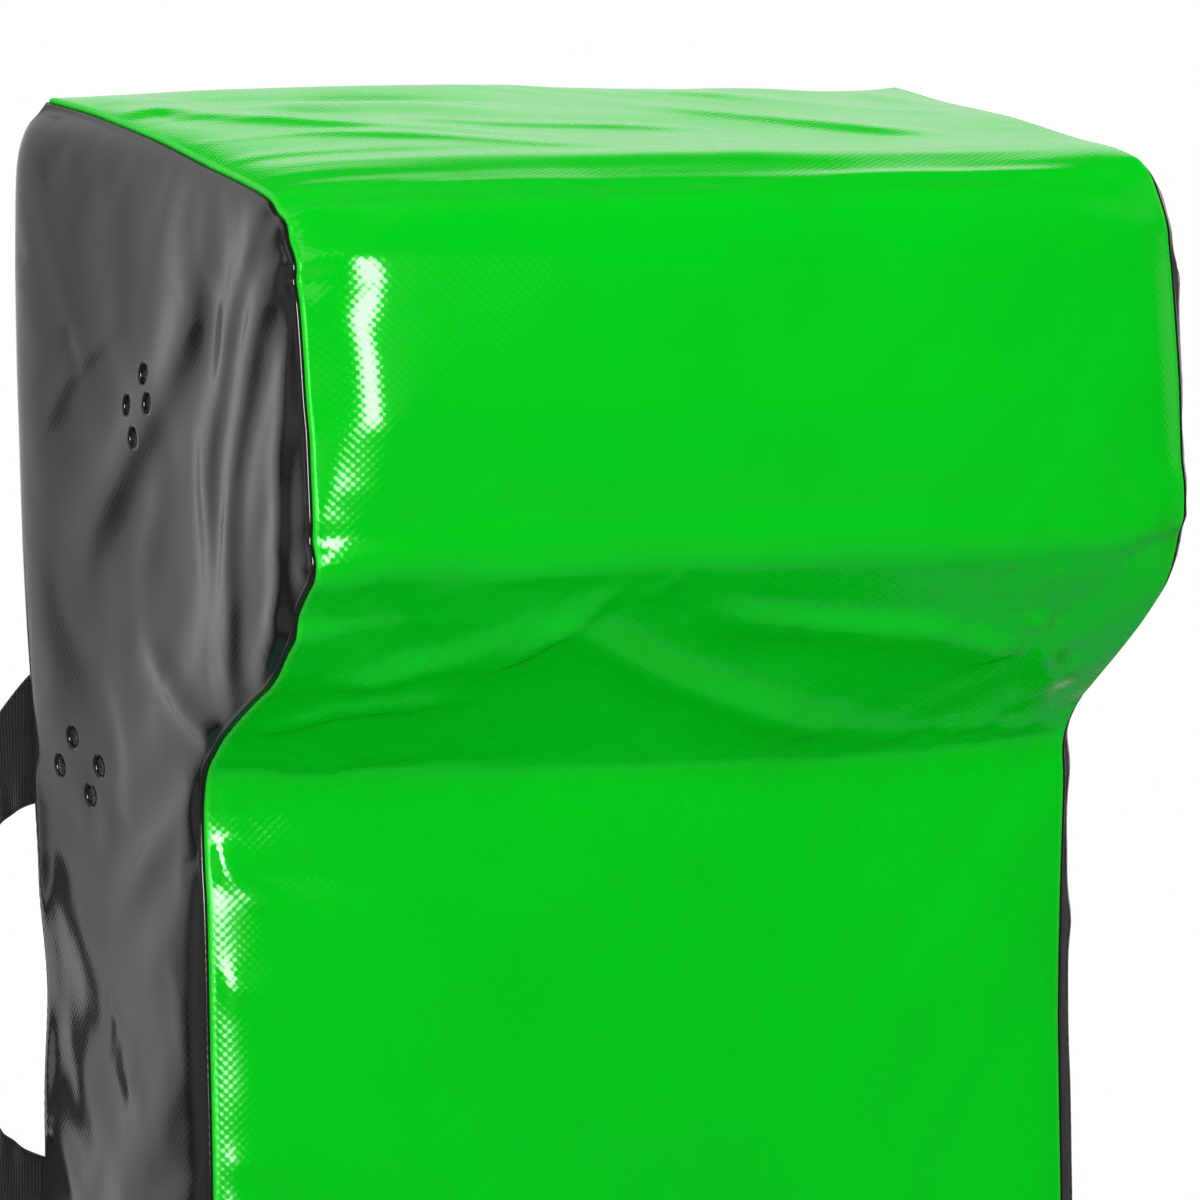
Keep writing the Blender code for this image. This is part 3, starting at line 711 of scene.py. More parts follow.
# ---- wrinkles -------------------------------------------------------------
class Field:
    """Values on a regular grid (rows along v, columns along u), read between the nodes by a smooth cubic."""

    def __init__(self, values, u0, v0, du, dv):
        self.values, self.u0, self.v0, self.du, self.dv = values, u0, v0, du, dv

    def at(self, u, v):
        rows, cols = self.values.shape
        a = np.clip((np.asarray(u, float) - self.u0) / self.du, 0, cols - 1.0001)
        b = np.clip((np.asarray(v, float) - self.v0) / self.dv, 0, rows - 1.0001)
        ia, ib = np.floor(a).astype(int), np.floor(b).astype(int)

        def weights(f):
            return (-0.5 * f + f**2 - 0.5 * f**3, 1 - 2.5 * f**2 + 1.5 * f**3, 0.5 * f + 2 * f**2 - 1.5 * f**3, -0.5 * f**2 + 0.5 * f**3)

        wa, wb = weights(a - ia), weights(b - ib)
        out = np.zeros(np.broadcast(a, b).shape)
        for i in range(4):
            r = np.clip(ib + i - 1, 0, rows - 1)
            for j in range(4):
                out = out + wb[i] * wa[j] * self.values[r, np.clip(ia + j - 1, 0, cols - 1)]
        return out


def blurred(values, sigma):
    """A Gaussian blur in cells, with the edges held."""
    reach = int(3 * sigma) + 1
    kernel = np.exp(-0.5 * (np.arange(-reach, reach + 1) / sigma) ** 2)
    kernel /= kernel.sum()
    for axis_ in (0, 1):
        wide = np.pad(values, [(reach, reach) if a == axis_ else (0, 0) for a in (0, 1)], mode="edge")
        values = np.apply_along_axis(lambda line: np.convolve(line, kernel, mode="valid"), axis_, wide)
    return values


WRINKLES = {}  # what the cloth simulation leaves, by panel


def wrinkle(panel, u, v):
    return WRINKLES[panel].at(u, v) if panel in WRINKLES else 0.0


# ---- the front sheet ------------------------------------------------------
def ease(e, reach):
    """0 at a seam, rising at once and levelling off at about reach metres."""
    return 1 - np.exp(-np.maximum(e, 0.0) / reach)


def sheet_height(x, s):
    """How far the front sheet stands outside the plain outline at (x, s)."""
    left, right, top, foot = (np.maximum(e - EDGE_A, 0) for e in (x + HALF_W, HALF_W - x, s, END - s))
    pull = np.exp(-left / 0.032), np.exp(-right / 0.032)
    h = seam_offset(-1, s) * pull[0] + seam_offset(1, s) * pull[1]
    h = h + keyed(x, TOP_SEAM) / 1000 * np.exp(-top / 0.05) * ease(left, 0.02) * ease(right, 0.02)
    full = keyed(s, [(0, 5.0), (0.10, 5.5), (0.20, 6.2), (0.24, 6.3), (0.262, 5.7), (0.278, 4.2), (0.291, 2.8), (0.31, 1.8), (0.33, 2.4), (0.36, 4.8), (0.42, 7.0), (0.48, 6.0), (0.54, 4.5), (0.62, 2.0), (0.655, 1.0),
                     (0.69, 3.0), (0.76, 6.0), (0.90, 7.0), (1.10, 6.5), (1.2825, 4.0)]) / 1000
    full = full * (1 - 0.55 * smoothstep(x, -0.05, 0.14) * (1 - smoothstep(s, 0.15, 0.33))) * (1 - 0.6 * smoothstep(x, 0.10, 0.18) * (1 - smoothstep(s, 0.08, 0.15)))
    crown = ease(left, 0.016) * ease(right, 0.016) * ease(top, 0.022) * ease(foot, 0.016)
    h = h + full * crown
    roll = keyed(s, [(0.300, 0.0), (0.335, 5.6), (0.41, 6.2), (0.425, 5.0), (0.445, 3.2), (0.462, 0.8), (0.480, 0.0)]) / 1000
    reach = keyed(s, [(0.30, 24), (0.345, 25), (0.365, 28), (0.39, 24), (0.42, 24), (0.45, 22), (0.50, 20)]) / 1000
    h = h + roll * (1 - np.exp(-((left / reach) ** 2))) * ease(right, 0.03) + 0.3 * roll * ease(left, 0.004) * ease(right, 0.03)
    inner = ease(left, 0.03) * ease(right, 0.03) * ease(foot, 0.03)
    h = h + 0.0016 * noise(x / 0.11, s / 0.09, 3) * inner + 0.0007 * noise(x / 0.045, s / 0.05, 4) * inner
    rise = ease(left, 0.003) * ease(right, 0.003) * ease(top, 0.003) * ease(foot, 0.003)
    if WITH_FOLDS:
        for path, height, width, kind, fade, *skew in SHEET_FOLDS:
            h = h + fold(x, s, path, height / 1000, width / 1000, kind, fade, *skew) * rise
        gain = keyed(s, [(0, 0.22), (0.20, 0.22), (0.30, 0.18), (0.46, 0.25), (0.50, 0.40), (0.62, 0.40), (0.70, 0.30), (0.86, 0.35), (1.00, 0.75), (1.2825, 0.8)])
        h = h + gain * wrinkle("front", x, s) * ease(left, 0.012) * ease(right, 0.012) * ease(top, 0.012) * ease(foot, 0.012)
    return h


WITH_FOLDS = True
# Folds in the front sheet: (x, s) points in metres, height and width in millimetres, kind, and how
# much of each end fades out.
SHEET_FOLDS = [
    # under the overhang, left
    ([(-0.200, 0.558), (-0.1729, 0.562), (-0.1569, 0.5595), (-0.1313, 0.5495), (-0.1075, 0.5345), (-0.0908, 0.5195), (-0.0779, 0.494)], 3.6, 9, "soft", (0.25, 0.35)),
    ([(-0.1200, 0.562), (-0.1037, 0.5515), (-0.0897, 0.534), (-0.0769, 0.5205), (-0.0658, 0.502), (-0.0577, 0.482)], 2.7, 7, "soft", (0.3, 0.4)),
    ([(-0.2085, 0.6175), (-0.2026, 0.610), (-0.1817, 0.595), (-0.1568, 0.5875), (-0.125, 0.586), (-0.095, 0.590)], 3.2, 9, "soft", (0.15, 0.35)),
    ([(-0.2100, 0.5165), (-0.2072, 0.518), (-0.2028, 0.520), (-0.196, 0.523)], -1.5, 2.5, "crease", (0.1, 0.6)),
    ([(-0.092, 0.5265), (-0.0876, 0.509), (-0.0826, 0.491)], -1.0, 6, "soft", (0.3, 0.4)),
    # under the overhang, middle and right
    ([(-0.1950, 0.5850), (-0.1796, 0.5770), (-0.1256, 0.5590), (-0.0968, 0.5425), (-0.0764, 0.5300), (-0.0458, 0.5500), (0.0211, 0.5915), (0.0803, 0.6180), (0.1405, 0.6425)], 3.6, 17, "soft", (0.2, 0.25), 0.40),
    ([(-0.085, 0.515), (-0.061, 0.5325), (-0.0268, 0.5635), (-0.0001, 0.5805), (0.055, 0.611), (0.1055, 0.6275), (0.1406, 0.638)], 3.2, 10, "soft", (0.2, 0.3), 0.20),
    ([(-0.0201, 0.508), (0.0011, 0.5205), (0.0408, 0.5305), (0.0989, 0.5365), (0.1229, 0.546), (0.1529, 0.5600), (0.1640, 0.5640)], 5.4, 13, "soft", (0.2, 0.12), 0.35),
    ([(0.1520, 0.522), (0.1577, 0.537), (0.1718, 0.5645), (0.1860, 0.588), (0.1985, 0.6060)], 4.0, 9, "soft", (0.15, 0.35), 0.35),
    ([(0.200, 0.640), (0.170, 0.632), (0.135, 0.630), (0.100, 0.640)], 1.8, 7, "soft", (0.15, 0.4)),
    ([(-0.0488, 0.5125), (-0.0401, 0.4955), (-0.0326, 0.4855)], 1.2, 5, "soft", (0.3, 0.3)),
    ([(-0.0354, 0.473), (-0.0313, 0.4775), (-0.0254, 0.484)], 0.7, 4, "soft", (0.3, 0.3)),
    # the crease at the foot of the overhang
    ([(-0.2120, 0.651), (-0.1904, 0.650), (-0.1586, 0.6515), (-0.131, 0.6475), (-0.0904, 0.6435), (-0.03, 0.642)], -2.0, 3.5, "crease", (0.03, 0.6)),
    ([(0.2110, 0.650), (0.185, 0.6475), (0.150, 0.648), (0.110, 0.646)], -1.4, 4, "crease", (0.05, 0.6)),
    # lower face, left
    ([(-0.2110, 0.6575), (-0.2066, 0.6595), (-0.2018, 0.6610), (-0.190, 0.664)], 1.1, 2.6, "crease", (0.10, 0.5)),
    ([(-0.2108, 0.6600), (-0.2056, 0.6655), (-0.1990, 0.6725), (-0.190, 0.680)], 1.1, 2.6, "crease", (0.10, 0.5)),
    ([(-0.2110, 0.6805), (-0.2072, 0.688), (-0.2013, 0.6965), (-0.1877, 0.7075), (-0.1652, 0.717)], 2.2, 6, "soft", (0.10, 0.5)),
    ([(-0.2105, 0.7480), (-0.1980, 0.7465), (-0.1850, 0.7500), (-0.1650, 0.7570)], 1.2, 9, "soft", (0.15, 0.5)),
    ([(-0.2105, 0.8290), (-0.1970, 0.8280), (-0.1830, 0.8320), (-0.1650, 0.8380)], 0.9, 7, "soft", (0.15, 0.5)),
    ([(-0.2105, 0.8500), (-0.1980, 0.8490), (-0.1860, 0.8530)], 0.8, 7, "soft", (0.15, 0.5)),
    ([(-0.2100, 0.700), (-0.180, 0.697), (-0.140, 0.700), (-0.100, 0.712)], -1.4, 9, "soft", (0.15, 0.5)),
    # the top
    ([(-0.2080, 0.094), (-0.1954, 0.078), (-0.1850, 0.083), (-0.1728, 0.104), (-0.1422, 0.132), (-0.0977, 0.165), (-0.03, 0.185)], 1.9, 13, "soft", (0.12, 0.5)),
    ([(-0.190, 0.052), (-0.1441, 0.0600), (-0.098, 0.0555), (-0.0492, 0.064), (-0.0064, 0.0915)], -1.8, 15, "soft", (0.2, 0.4)),
    ([(-0.195, 0.162), (-0.1492, 0.169), (-0.1000, 0.190), (-0.0500, 0.213), (0.0100, 0.224)], 1.2, 10, "soft", (0.3, 0.4)),
    ([(-0.120, 0.135), (-0.060, 0.146), (0.010, 0.150), (0.080, 0.172)], 1.1, 9, "soft", (0.3, 0.4)),
    ([(-0.170, 0.086), (-0.120, 0.090), (-0.070, 0.092), (-0.010, 0.104)], 2.2, 24, "soft", (0.3, 0.4)),
    ([(0.030, 0.070), (0.0678, 0.1085), (0.1054, 0.140), (0.1376, 0.1735), (0.1721, 0.2105)], 1.5, 12, "soft", (0.3, 0.3)),
    ([(0.060, 0.040), (0.110, 0.052), (0.160, 0.085), (0.200, 0.130)], 1.2, 12, "soft", (0.3, 0.2)),
    # the crest and the upper face
    ([(-0.2110, 0.3170), (-0.2066, 0.3135), (-0.1994, 0.3095), (-0.190, 0.303)], 1.0, 3.5, "soft", (0.1, 0.5)),
    ([(-0.2020, 0.3420), (-0.1930, 0.3480), (-0.1860, 0.358), (-0.1890, 0.3795), (-0.1890, 0.402), (-0.1830, 0.423), (-0.1860, 0.446)], 1.3, 16, "soft", (0.10, 0.25)),
    ([(0.1455, 0.4105), (0.1723, 0.439), (0.1867, 0.4555), (0.2043, 0.4715)], 1.5, 7, "soft", (0.4, 0.1)),
    ([(0.1032, 0.4725), (0.1468, 0.476), (0.1764, 0.4785), (0.2060, 0.4815)], 1.3, 6, "soft", (0.4, 0.1)),
    ([(0.1457, 0.463), (0.1669, 0.4725), (0.1823, 0.4795), (0.2050, 0.486)], -1.1, 4, "soft", (0.4, 0.1)),
]

pos_x, depth_x = axis(2 * HALF_W, seam_edge(), seam_edge(), 0.0032)
pos_s, depth_s = axis(END, seam_edge(), seam_edge(), 0.0030)


def front_point(x, s, depth=0.0):
    y, z, ny, nz = OUT.at(s)
    h = sheet_height(x, s) - depth
    left, right, top = (np.maximum(e - EDGE_A, 0) for e in (x + HALF_W, HALF_W - x, s))
    out = CORNER_OUT[1] * np.exp(-(right + top) / CORNER_REACH) - CORNER_OUT[-1] * np.exp(-(left + top) / CORNER_REACH)
    return np.stack([x + out, y + ny * h, z + nz * h], -1)


def front_sheet():
    X, S = np.meshgrid(pos_x - HALF_W, pos_s)
    points = front_point(X, S, np.maximum(depth_x[None, :], depth_s[:, None]))
    return piece("front_sheet", grid_mesh("front_sheet", points, np.stack([X, S], -1)), GREEN,
                 stands_for=("front_cover",))


# ---- the side panels ------------------------------------------------------
def boundary(side):
    """The side panel's outline as (y, z) points and their inward directions, once round."""
    edge = 0.0075
    ss = spread(edge, END - edge, 0.002, 0.0030, 0.002)
    off = seam_offset(side, np.concatenate([[0], ss, [END]]))
    y, z, ny, nz = OUT.at(np.concatenate([[0], ss, [END]]))
    y, z = y + ny * off, z + nz * off
    in_y, in_z = -ny, -nz
    in_y[0] -= 1.0
    in_z[-1] += 1.0
    # along the base to the back, then up the back
    foot = spread(LOWER_Y + edge, BACK_Y - edge, 0.003, 0.004, 0.003)
    rise = spread(edge, TOP_BACK_Z - edge, 0.003, 0.004, 0.003)
    ys = np.concatenate([y, foot, [BACK_Y], np.full(len(rise), BACK_Y)])
    zs = np.concatenate([z, np.zeros(len(foot)), [0.0], rise])
    iy = np.concatenate([in_y, np.zeros(len(foot)), [-1.0], -np.ones(len(rise))])
    iz = np.concatenate([in_z, np.ones(len(foot)), [1.0], np.zeros(len(rise))])
    return ys, zs, iy, iz, len(y)


def distance_to(y, z, ly, lz, chunk=4000):
    """Distance from each point to a polyline."""
    a = np.stack([ly[:-1], lz[:-1]], 1)
    d = np.stack([np.diff(ly), np.diff(lz)], 1)
    l2 = np.maximum((d**2).sum(1), 1e-12)
    out = np.empty(len(y))
    for i in range(0, len(y), chunk):
        p = np.stack([y[i : i + chunk], z[i : i + chunk]], 1)[:, None, :] - a[None]
        t = np.clip((p * d[None]).sum(-1) / l2, 0, 1)
        out[i : i + chunk] = np.sqrt(((p - t[..., None] * d[None]) ** 2).sum(-1).min(1))
    return out


# Folds in the side panels, (y, z) points, otherwise as in the front sheet.
SKEW = 0.26  # a fold's flank towards the back is the broader one
SIDE_FOLDS = {
    -1: [
        ([(-0.1380, 0.8900), (-0.1258, 0.8828), (-0.1032, 0.862), (-0.0976, 0.8399), (-0.0774, 0.8189), (-0.0489, 0.7945), (-0.0104, 0.762), (0.0189, 0.7309), (0.0416, 0.7009)], 3.8, 17, "soft", (0.3, 0.35), SKEW),
        ([(-0.2010, 0.8990), (-0.1940, 0.896), (-0.1670, 0.8701), (-0.1520, 0.8501), (-0.1440, 0.8325), (-0.1330, 0.81), (-0.1230, 0.7897), (-0.1190, 0.7697), (-0.1200, 0.7417), (-0.1190, 0.7144), (-0.1150, 0.6959)], 3.2, 14, "soft", (0.20, 0.3), SKEW),
        ([(-0.2194, 0.8930), (-0.2150, 0.8879), (-0.2000, 0.8614), (-0.1850, 0.8424), (-0.1700, 0.817), (-0.1570, 0.7921), (-0.1500, 0.772), (-0.1480, 0.7438), (-0.1500, 0.717), (-0.1460, 0.6897), (-0.1290, 0.6515)], 3.8, 14.5, "soft", (0.22, 0.2), SKEW),
        ([(-0.2330, 0.8700), (-0.2310, 0.8612), (-0.2240, 0.8391), (-0.2160, 0.8095), (-0.2110, 0.7769), (-0.2110, 0.7493), (-0.2060, 0.7222), (-0.1930, 0.6988), (-0.1600, 0.6736)], 2.8, 10, "soft", (0.25, 0.25), SKEW),
        ([(-0.0250, 0.6960), (-0.0477, 0.6822), (-0.0718, 0.6707), (-0.0905, 0.6619), (-0.109, 0.6542), (-0.1215, 0.6488)], 2.4, 9, "soft", (0.40, 0.04)),
        ([(-0.0980, 0.6310), (-0.086, 0.618), (-0.0522, 0.5987), (-0.0178, 0.5717), (0.010, 0.548)], 1.5, 12, "soft", (0.1, 0.45)),
        ([(-0.0250, 0.8440), (-0.0113, 0.8341), (0.015, 0.8194), (0.0304, 0.8114), (0.0459, 0.794), (0.0773, 0.7626)], 0.4, 7, "soft", (0.25, 0.35), SKEW),
        ([(0.0398, 0.8326), (0.0344, 0.8204), (0.0249, 0.8085)], -0.5, 5, "soft", (0.4, 0.2)),
        ([(0.0076, 0.5243), (0.0008, 0.5135), (-0.0073, 0.5023)], 0.3, 6, "soft", (0.3, 0.2)),
        ([(-0.0017, 0.4951), (-0.0222, 0.4837), (-0.0508, 0.4698)], 0.6, 8, "soft", (0.3, 0.3)),
        ([(0.0900, 0.8687), (0.0844, 0.8634), (0.0760, 0.8565)], -0.5, 6, "soft", (0.3, 0.3)),
        ([(0.0444, 0.9114), (0.0557, 0.9038), (0.0642, 0.8954)], -0.5, 9, "soft", (0.3, 0.3)),
        ([(-0.0663, 0.7839), (-0.0497, 0.7459), (-0.0248, 0.7068)], 1.2, 13, "soft", (0.4, 0.4)),
        ([(-0.0960, 0.600), (-0.0880, 0.592), (-0.0760, 0.590)], -1.0, 4, "crease", (0.1, 0.4)),
        ([(0.1000, 0.632), (0.0970, 0.605), (0.0900, 0.575), (0.0950, 0.545), (0.0960, 0.515), (0.0920, 0.480), (0.0960, 0.440), (0.0960, 0.400), (0.0930, 0.330), (0.0950, 0.250)], 3.8, 10.5, "soft", (0.06, 0.25), 0.20),
    ],
    1: [
        ([(-0.2080, 0.9010), (-0.1820, 0.8850), (-0.1500, 0.8500), (-0.1350, 0.8100), (-0.1220, 0.7650), (-0.1180, 0.7200), (-0.1250, 0.6800)], 3.2, 11, "soft", (0.1, 0.25)),
        ([(-0.2250, 0.8830), (-0.2050, 0.8500), (-0.1850, 0.8150), (-0.1700, 0.7750), (-0.1600, 0.7300), (-0.1500, 0.6900), (-0.1290, 0.6560)], 3.0, 8, "crease", (0.08, 0.2)),
        ([(-0.1500, 0.9020), (-0.1150, 0.8750), (-0.0850, 0.8350), (-0.0550, 0.7950), (-0.0200, 0.7600), (0.0150, 0.7200)], 2.6, 14, "soft", (0.25, 0.4)),
        ([(0.0100, 0.7050), (-0.0300, 0.6900), (-0.0700, 0.6730), (-0.1020, 0.6570), (-0.1210, 0.6490)], 2.8, 7, "crease", (0.35, 0.06)),
        ([(-0.0980, 0.6330), (-0.0780, 0.6100), (-0.0400, 0.5850), (0.0050, 0.5500)], 2.0, 10, "soft", (0.1, 0.45)),
        ([(-0.0960, 0.5600), (-0.0700, 0.5350), (-0.0250, 0.5150), (0.0300, 0.5050)], 1.6, 9, "soft", (0.15, 0.45)),
        ([(0.0600, 0.8800), (0.0500, 0.8300), (0.0620, 0.7700), (0.0500, 0.7100)], 1.6, 13, "soft", (0.35, 0.35)),
        ([(0.0300, 0.4600), (0.0100, 0.3900), (0.0200, 0.3100), (0.0050, 0.2300)], 1.5, 14, "soft", (0.4, 0.4)),
    ],
}


# how far the right panel swells out beside the front seam, by height, in millimetres
RIGHT_LIP = [(0, 2.5), (0.30, 4.0), (0.46, 4.6), (0.50, 4.2), (0.56, 3.2), (0.63, 2.4), (0.655, 0.5), (0.700, 0.5), (0.715, 2.8), (0.745, 2.8), (0.755, 1.0),
             (0.765, 2.3), (0.780, 2.3), (0.790, 0.6), (0.800, 2.3), (0.850, 2.5), (0.865, 0.5), (0.880, 2.0), (0.900, 0.4), (0.94, 0.0)]


def panel_shape(side, y, z, from_front, from_back, from_foot):
    """How far the side panel bulges out, and its shift backwards near the back seam."""
    from_front, from_back, from_foot = (np.maximum(e - EDGE_A, 0) for e in (from_front, from_back, from_foot))
    start = ease(from_front, 0.0020) * ease(from_foot, 0.004)
    steep = 0.0026 * ease(from_front, 0.0065) * ease(from_back, 0.008) * ease(from_foot, 0.010)
    steep = steep + keyed(z, [(0, 2.0), (0.10, 5.5), (0.54, 5.5), (0.61, 0.5), (0.94, 0.0)]) / 1000 * ease(from_front, 0.016) * ease(from_back, 0.010)
    broad = keyed(z, [(0, 1.5), (0.15, 3.2), (0.40, 3.0), (0.60, 1.2), (0.75, 1.2), (0.88, 1.5), (0.94, 1.0)]) / 1000
    broad = broad * ease(from_front, 0.045) * ease(from_back, 0.014) * ease(from_foot, 0.03)
    lobe = keyed(z, [(0, 0.5), (0.2, 1.0), (0.5, 1.0), (0.62, 2.6), (0.75, 5.0), (0.9, 4.5), (0.94, 0.0)]) / 1000
    lobe = lobe * ease(from_back, 0.010) * np.exp(-((from_back / 0.09) ** 2)) * start
    near = np.exp(-from_back / 0.035) * start
    wide = np.exp(-((from_back / keyed(z, [(0.0, 0.040), (0.56, 0.044), (0.62, 0.048), (0.69, 0.064), (0.78, 0.080), (0.94, 0.080)])) ** 1.6)) * start * ease(from_front, 0.009)
    out = steep + broad + lobe + keyed(z, BACK_SEAM_X[side]) / 1000 * wide
    out = out + CORNER_OUT[side] * np.exp(-(from_front + np.maximum(BACK_Y - y - EDGE_A, 0)) / CORNER_REACH) * (z > 0.6)
    if side > 0:
        beside = 1 - smoothstep(z, 0.62, 0.68) * (1 - np.exp(-((from_front / 0.028) ** 2)))  # above the overhang's foot only beside the seam
        out = out + keyed(z, RIGHT_LIP) / 1000 * ease(from_front, 0.0035) * ease(from_back, 0.008) * start * beside
    back = keyed(z, BACK_SEAM_Y[side]) / 1000 * near
    inner = ease(from_front, 0.02) * ease(from_back, 0.02) * ease(from_foot, 0.03)
    calm = 1 - 0.6 * np.exp(-((from_back / 0.11) ** 2)) * smoothstep(z, 0.60, 0.72)  # where the panel is stretched out to its back seam
    out = out + (0.0012 * noise(y / 0.07, z / 0.13, 11 + side) + 0.0006 * noise(y / 0.03, z / 0.06, 15 + side)) * inner * calm
    rise = start * ease(from_back, 0.003)
    if WITH_FOLDS:
        for path, height, width, kind, fade, *skew in SIDE_FOLDS[side]:
            out = out + fold(y, z, path, height / 1000, width / 1000, kind, fade, *skew) * rise
        gain = keyed(z, [(0, 0.8), (0.38, 0.8), (0.50, 0.45), (0.80, 0.40), (0.932, 0.5)])
        out = out + gain * calm * wrinkle(side, y, z) * ease(from_front, 0.012) * ease(from_back, 0.012) * ease(from_foot, 0.012)
    return out, back


def side_panel(side, name, stands_for):
    by, bz, iy, iz, corner = boundary(side)
    count = len(by)
    # corners come out square, and nothing else is stretched
    ring_a, ring_w = seam_edge()
    ring_a = np.concatenate([ring_a, [0.0050, 0.0066]])
    ring_w = np.concatenate([ring_w, [0.0, 0.0]])
    rings = np.concatenate([np.stack([by + iy * a, bz + iz * a], 1) for a in ring_a])
    ring_depth = np.repeat(ring_w, count)
    last = rings[-count:]
    # the inside of the panel: a slightly staggered grid, kept clear of the rings and vents
    step = 0.0030
    gy, gz = np.meshgrid(np.arange(-0.26, 0.11, step), np.arange(0.0, 0.95, step * 0.92))
    gy = gy + (np.arange(len(gy)) % 2)[:, None] * step / 2
    inside = np.stack([gy.ravel(), gz.ravel()], 1)
    loop = np.vstack([last, last[:1]])
    keep = in_polygon(inside, last)
    inside = inside[keep]
    inside = inside[distance_to(inside[:, 0], inside[:, 1], loop[:, 0], loop[:, 1]) > 0.0016]
    holes = []
    for cy, cz in VENTS:
        t = np.arange(28) * 2 * math.pi / 28
        inside = inside[np.hypot(inside[:, 0] - cy, inside[:, 1] - cz) > VENT_R + 0.0030]
        holes.append(np.stack([cy + VENT_R * np.cos(t), cz + VENT_R * np.sin(t)], 1))
        ring = VENT_R + 0.0016
        inside = np.vstack([inside, np.stack([cy + ring * np.cos(t), cz + ring * np.sin(t)], 1)])
    flat = np.vstack([last, *holes, inside])
    edges = [(i, (i + 1) % count) for i in range(count)]
    at = count
    for hole in holes:
        edges += [(at + i, at + (i + 1) % len(hole)) for i in range(len(hole))]
        at += len(hole)
    made = geometry.delaunay_2d_cdt([Vector(p) for p in flat.tolist()], edges, [], 1, 1e-7)
    spots = np.array([tuple(p) for p in made[0]])
    triangles = np.array([f for f in made[2]])
    middle = spots[triangles].mean(1)
    open_ = np.zeros(len(triangles), bool)
    for cy, cz in VENTS:
        open_ |= np.hypot(middle[:, 0] - cy, middle[:, 1] - cz) < VENT_R * 0.985
    triangles = triangles[~open_]
    # every input point comes back once, in its own order
    origin = made[3]
    back_to = {}
    for new, olds in enumerate(origin):
        for old in olds:
            back_to[old] = new
    base = len(rings)
    flat_points = np.vstack([rings, spots])
    # triangles that touch the last ring use the ring's own vertices
    same = {back_to[i]: base - count + i for i in range(count)}
    remap = np.arange(len(spots)) + base
    for new, ringed in same.items():
        remap[new] = ringed
    triangles = remap[triangles]
    faces = []
    for k in range(len(ring_a) - 1):
        i = np.arange(count)
        j = (i + 1) % count
        faces.append(np.stack([k * count + i, k * count + j, (k + 1) * count + j, (k + 1) * count + i], 1))
    quads = np.vstack(faces)
    y, z = flat_points[:, 0], flat_points[:, 1]
    depth = np.concatenate([ring_depth, np.zeros(len(spots))])
    front_y, front_z = by[:corner], bz[:corner]
    from_front = distance_to(y, z, front_y, front_z)
    from_back = BACK_Y - y
    from_foot = z.copy()
    out, back = panel_shape(side, y, z, from_front, from_back, from_foot)
    x = side * (HALF_W + out - depth)
    # the vents' rims go 1.2 mm in
    rim_points, rim_faces, rim_src = [], [], []
    at = count
    total = len(flat_points)
    for hole in holes:
        ids = [remap[back_to[at + i]] for i in range(len(hole))]
        at += len(hole)
        cy, cz = y[ids].mean(), z[ids].mean()
        start = total + len(rim_points)
        for i in ids:
            rim_points.append((x[i] - side * 0.0012, cy + (y[i] - cy) * 0.98 + back[i], z[i]))
            rim_src.append(i)
        k = len(ids)
        rim_faces += [(ids[i], ids[(i + 1) % k], start + (i + 1) % k, start + i) for i in range(k)]
    pts = np.stack([x, y + back, z], 1)
    pts = np.vstack([pts, np.array(rim_points)])
    coords = np.vstack([np.stack([y, z], 1), np.stack([y[rim_src], z[rim_src]], 1)])
    faces = quads.tolist() + triangles.tolist() + [tuple(f) for f in rim_faces]
    used = np.unique(np.concatenate([np.ravel(f) for f in faces]))
    new_index = -np.ones(len(pts), int)
    new_index[used] = np.arange(len(used))
    faces = [[int(new_index[i]) for i in f] for f in faces]
    mesh = raw_mesh(name, pts[used], faces, coords[used])
    bm = bmesh.new()
    bm.from_mesh(mesh)
    bmesh.ops.recalc_face_normals(bm, faces=bm.faces[:])
    biggest = max(bm.faces, key=lambda f: f.calc_area())
    if biggest.normal.x * side < 0:
        bmesh.ops.reverse_faces(bm, faces=bm.faces[:])
    bm.to_mesh(mesh)
    bm.free()
    mesh.shade_smooth()
    return piece(name, mesh, BLACK, stands_for=stands_for)


def in_polygon(p, loop):
    """Which points lie inside a closed loop."""
    x, y = p[:, 0], p[:, 1]
    inside = np.zeros(len(p), bool)
    for (x0, y0), (x1, y1) in zip(loop, np.roll(loop, -1, axis=0)):
        if y0 == y1:
            continue
        cross = (y0 > y) != (y1 > y)
        inside ^= cross & (x < (x1 - x0) * (y - y0) / (y1 - y0) + x0)
    return inside



# ---- the back: two sheets that meet at the zip ----------------------------
def top_seam(x):
    """Where the top back seam runs, as its height and set-back from the plain edge."""
    h = sheet_height(np.asarray(x, float), np.zeros(np.shape(x)))
    _, _, ny, nz = OUT.at(np.zeros(1))
    return h * nz[0], h * ny[0]


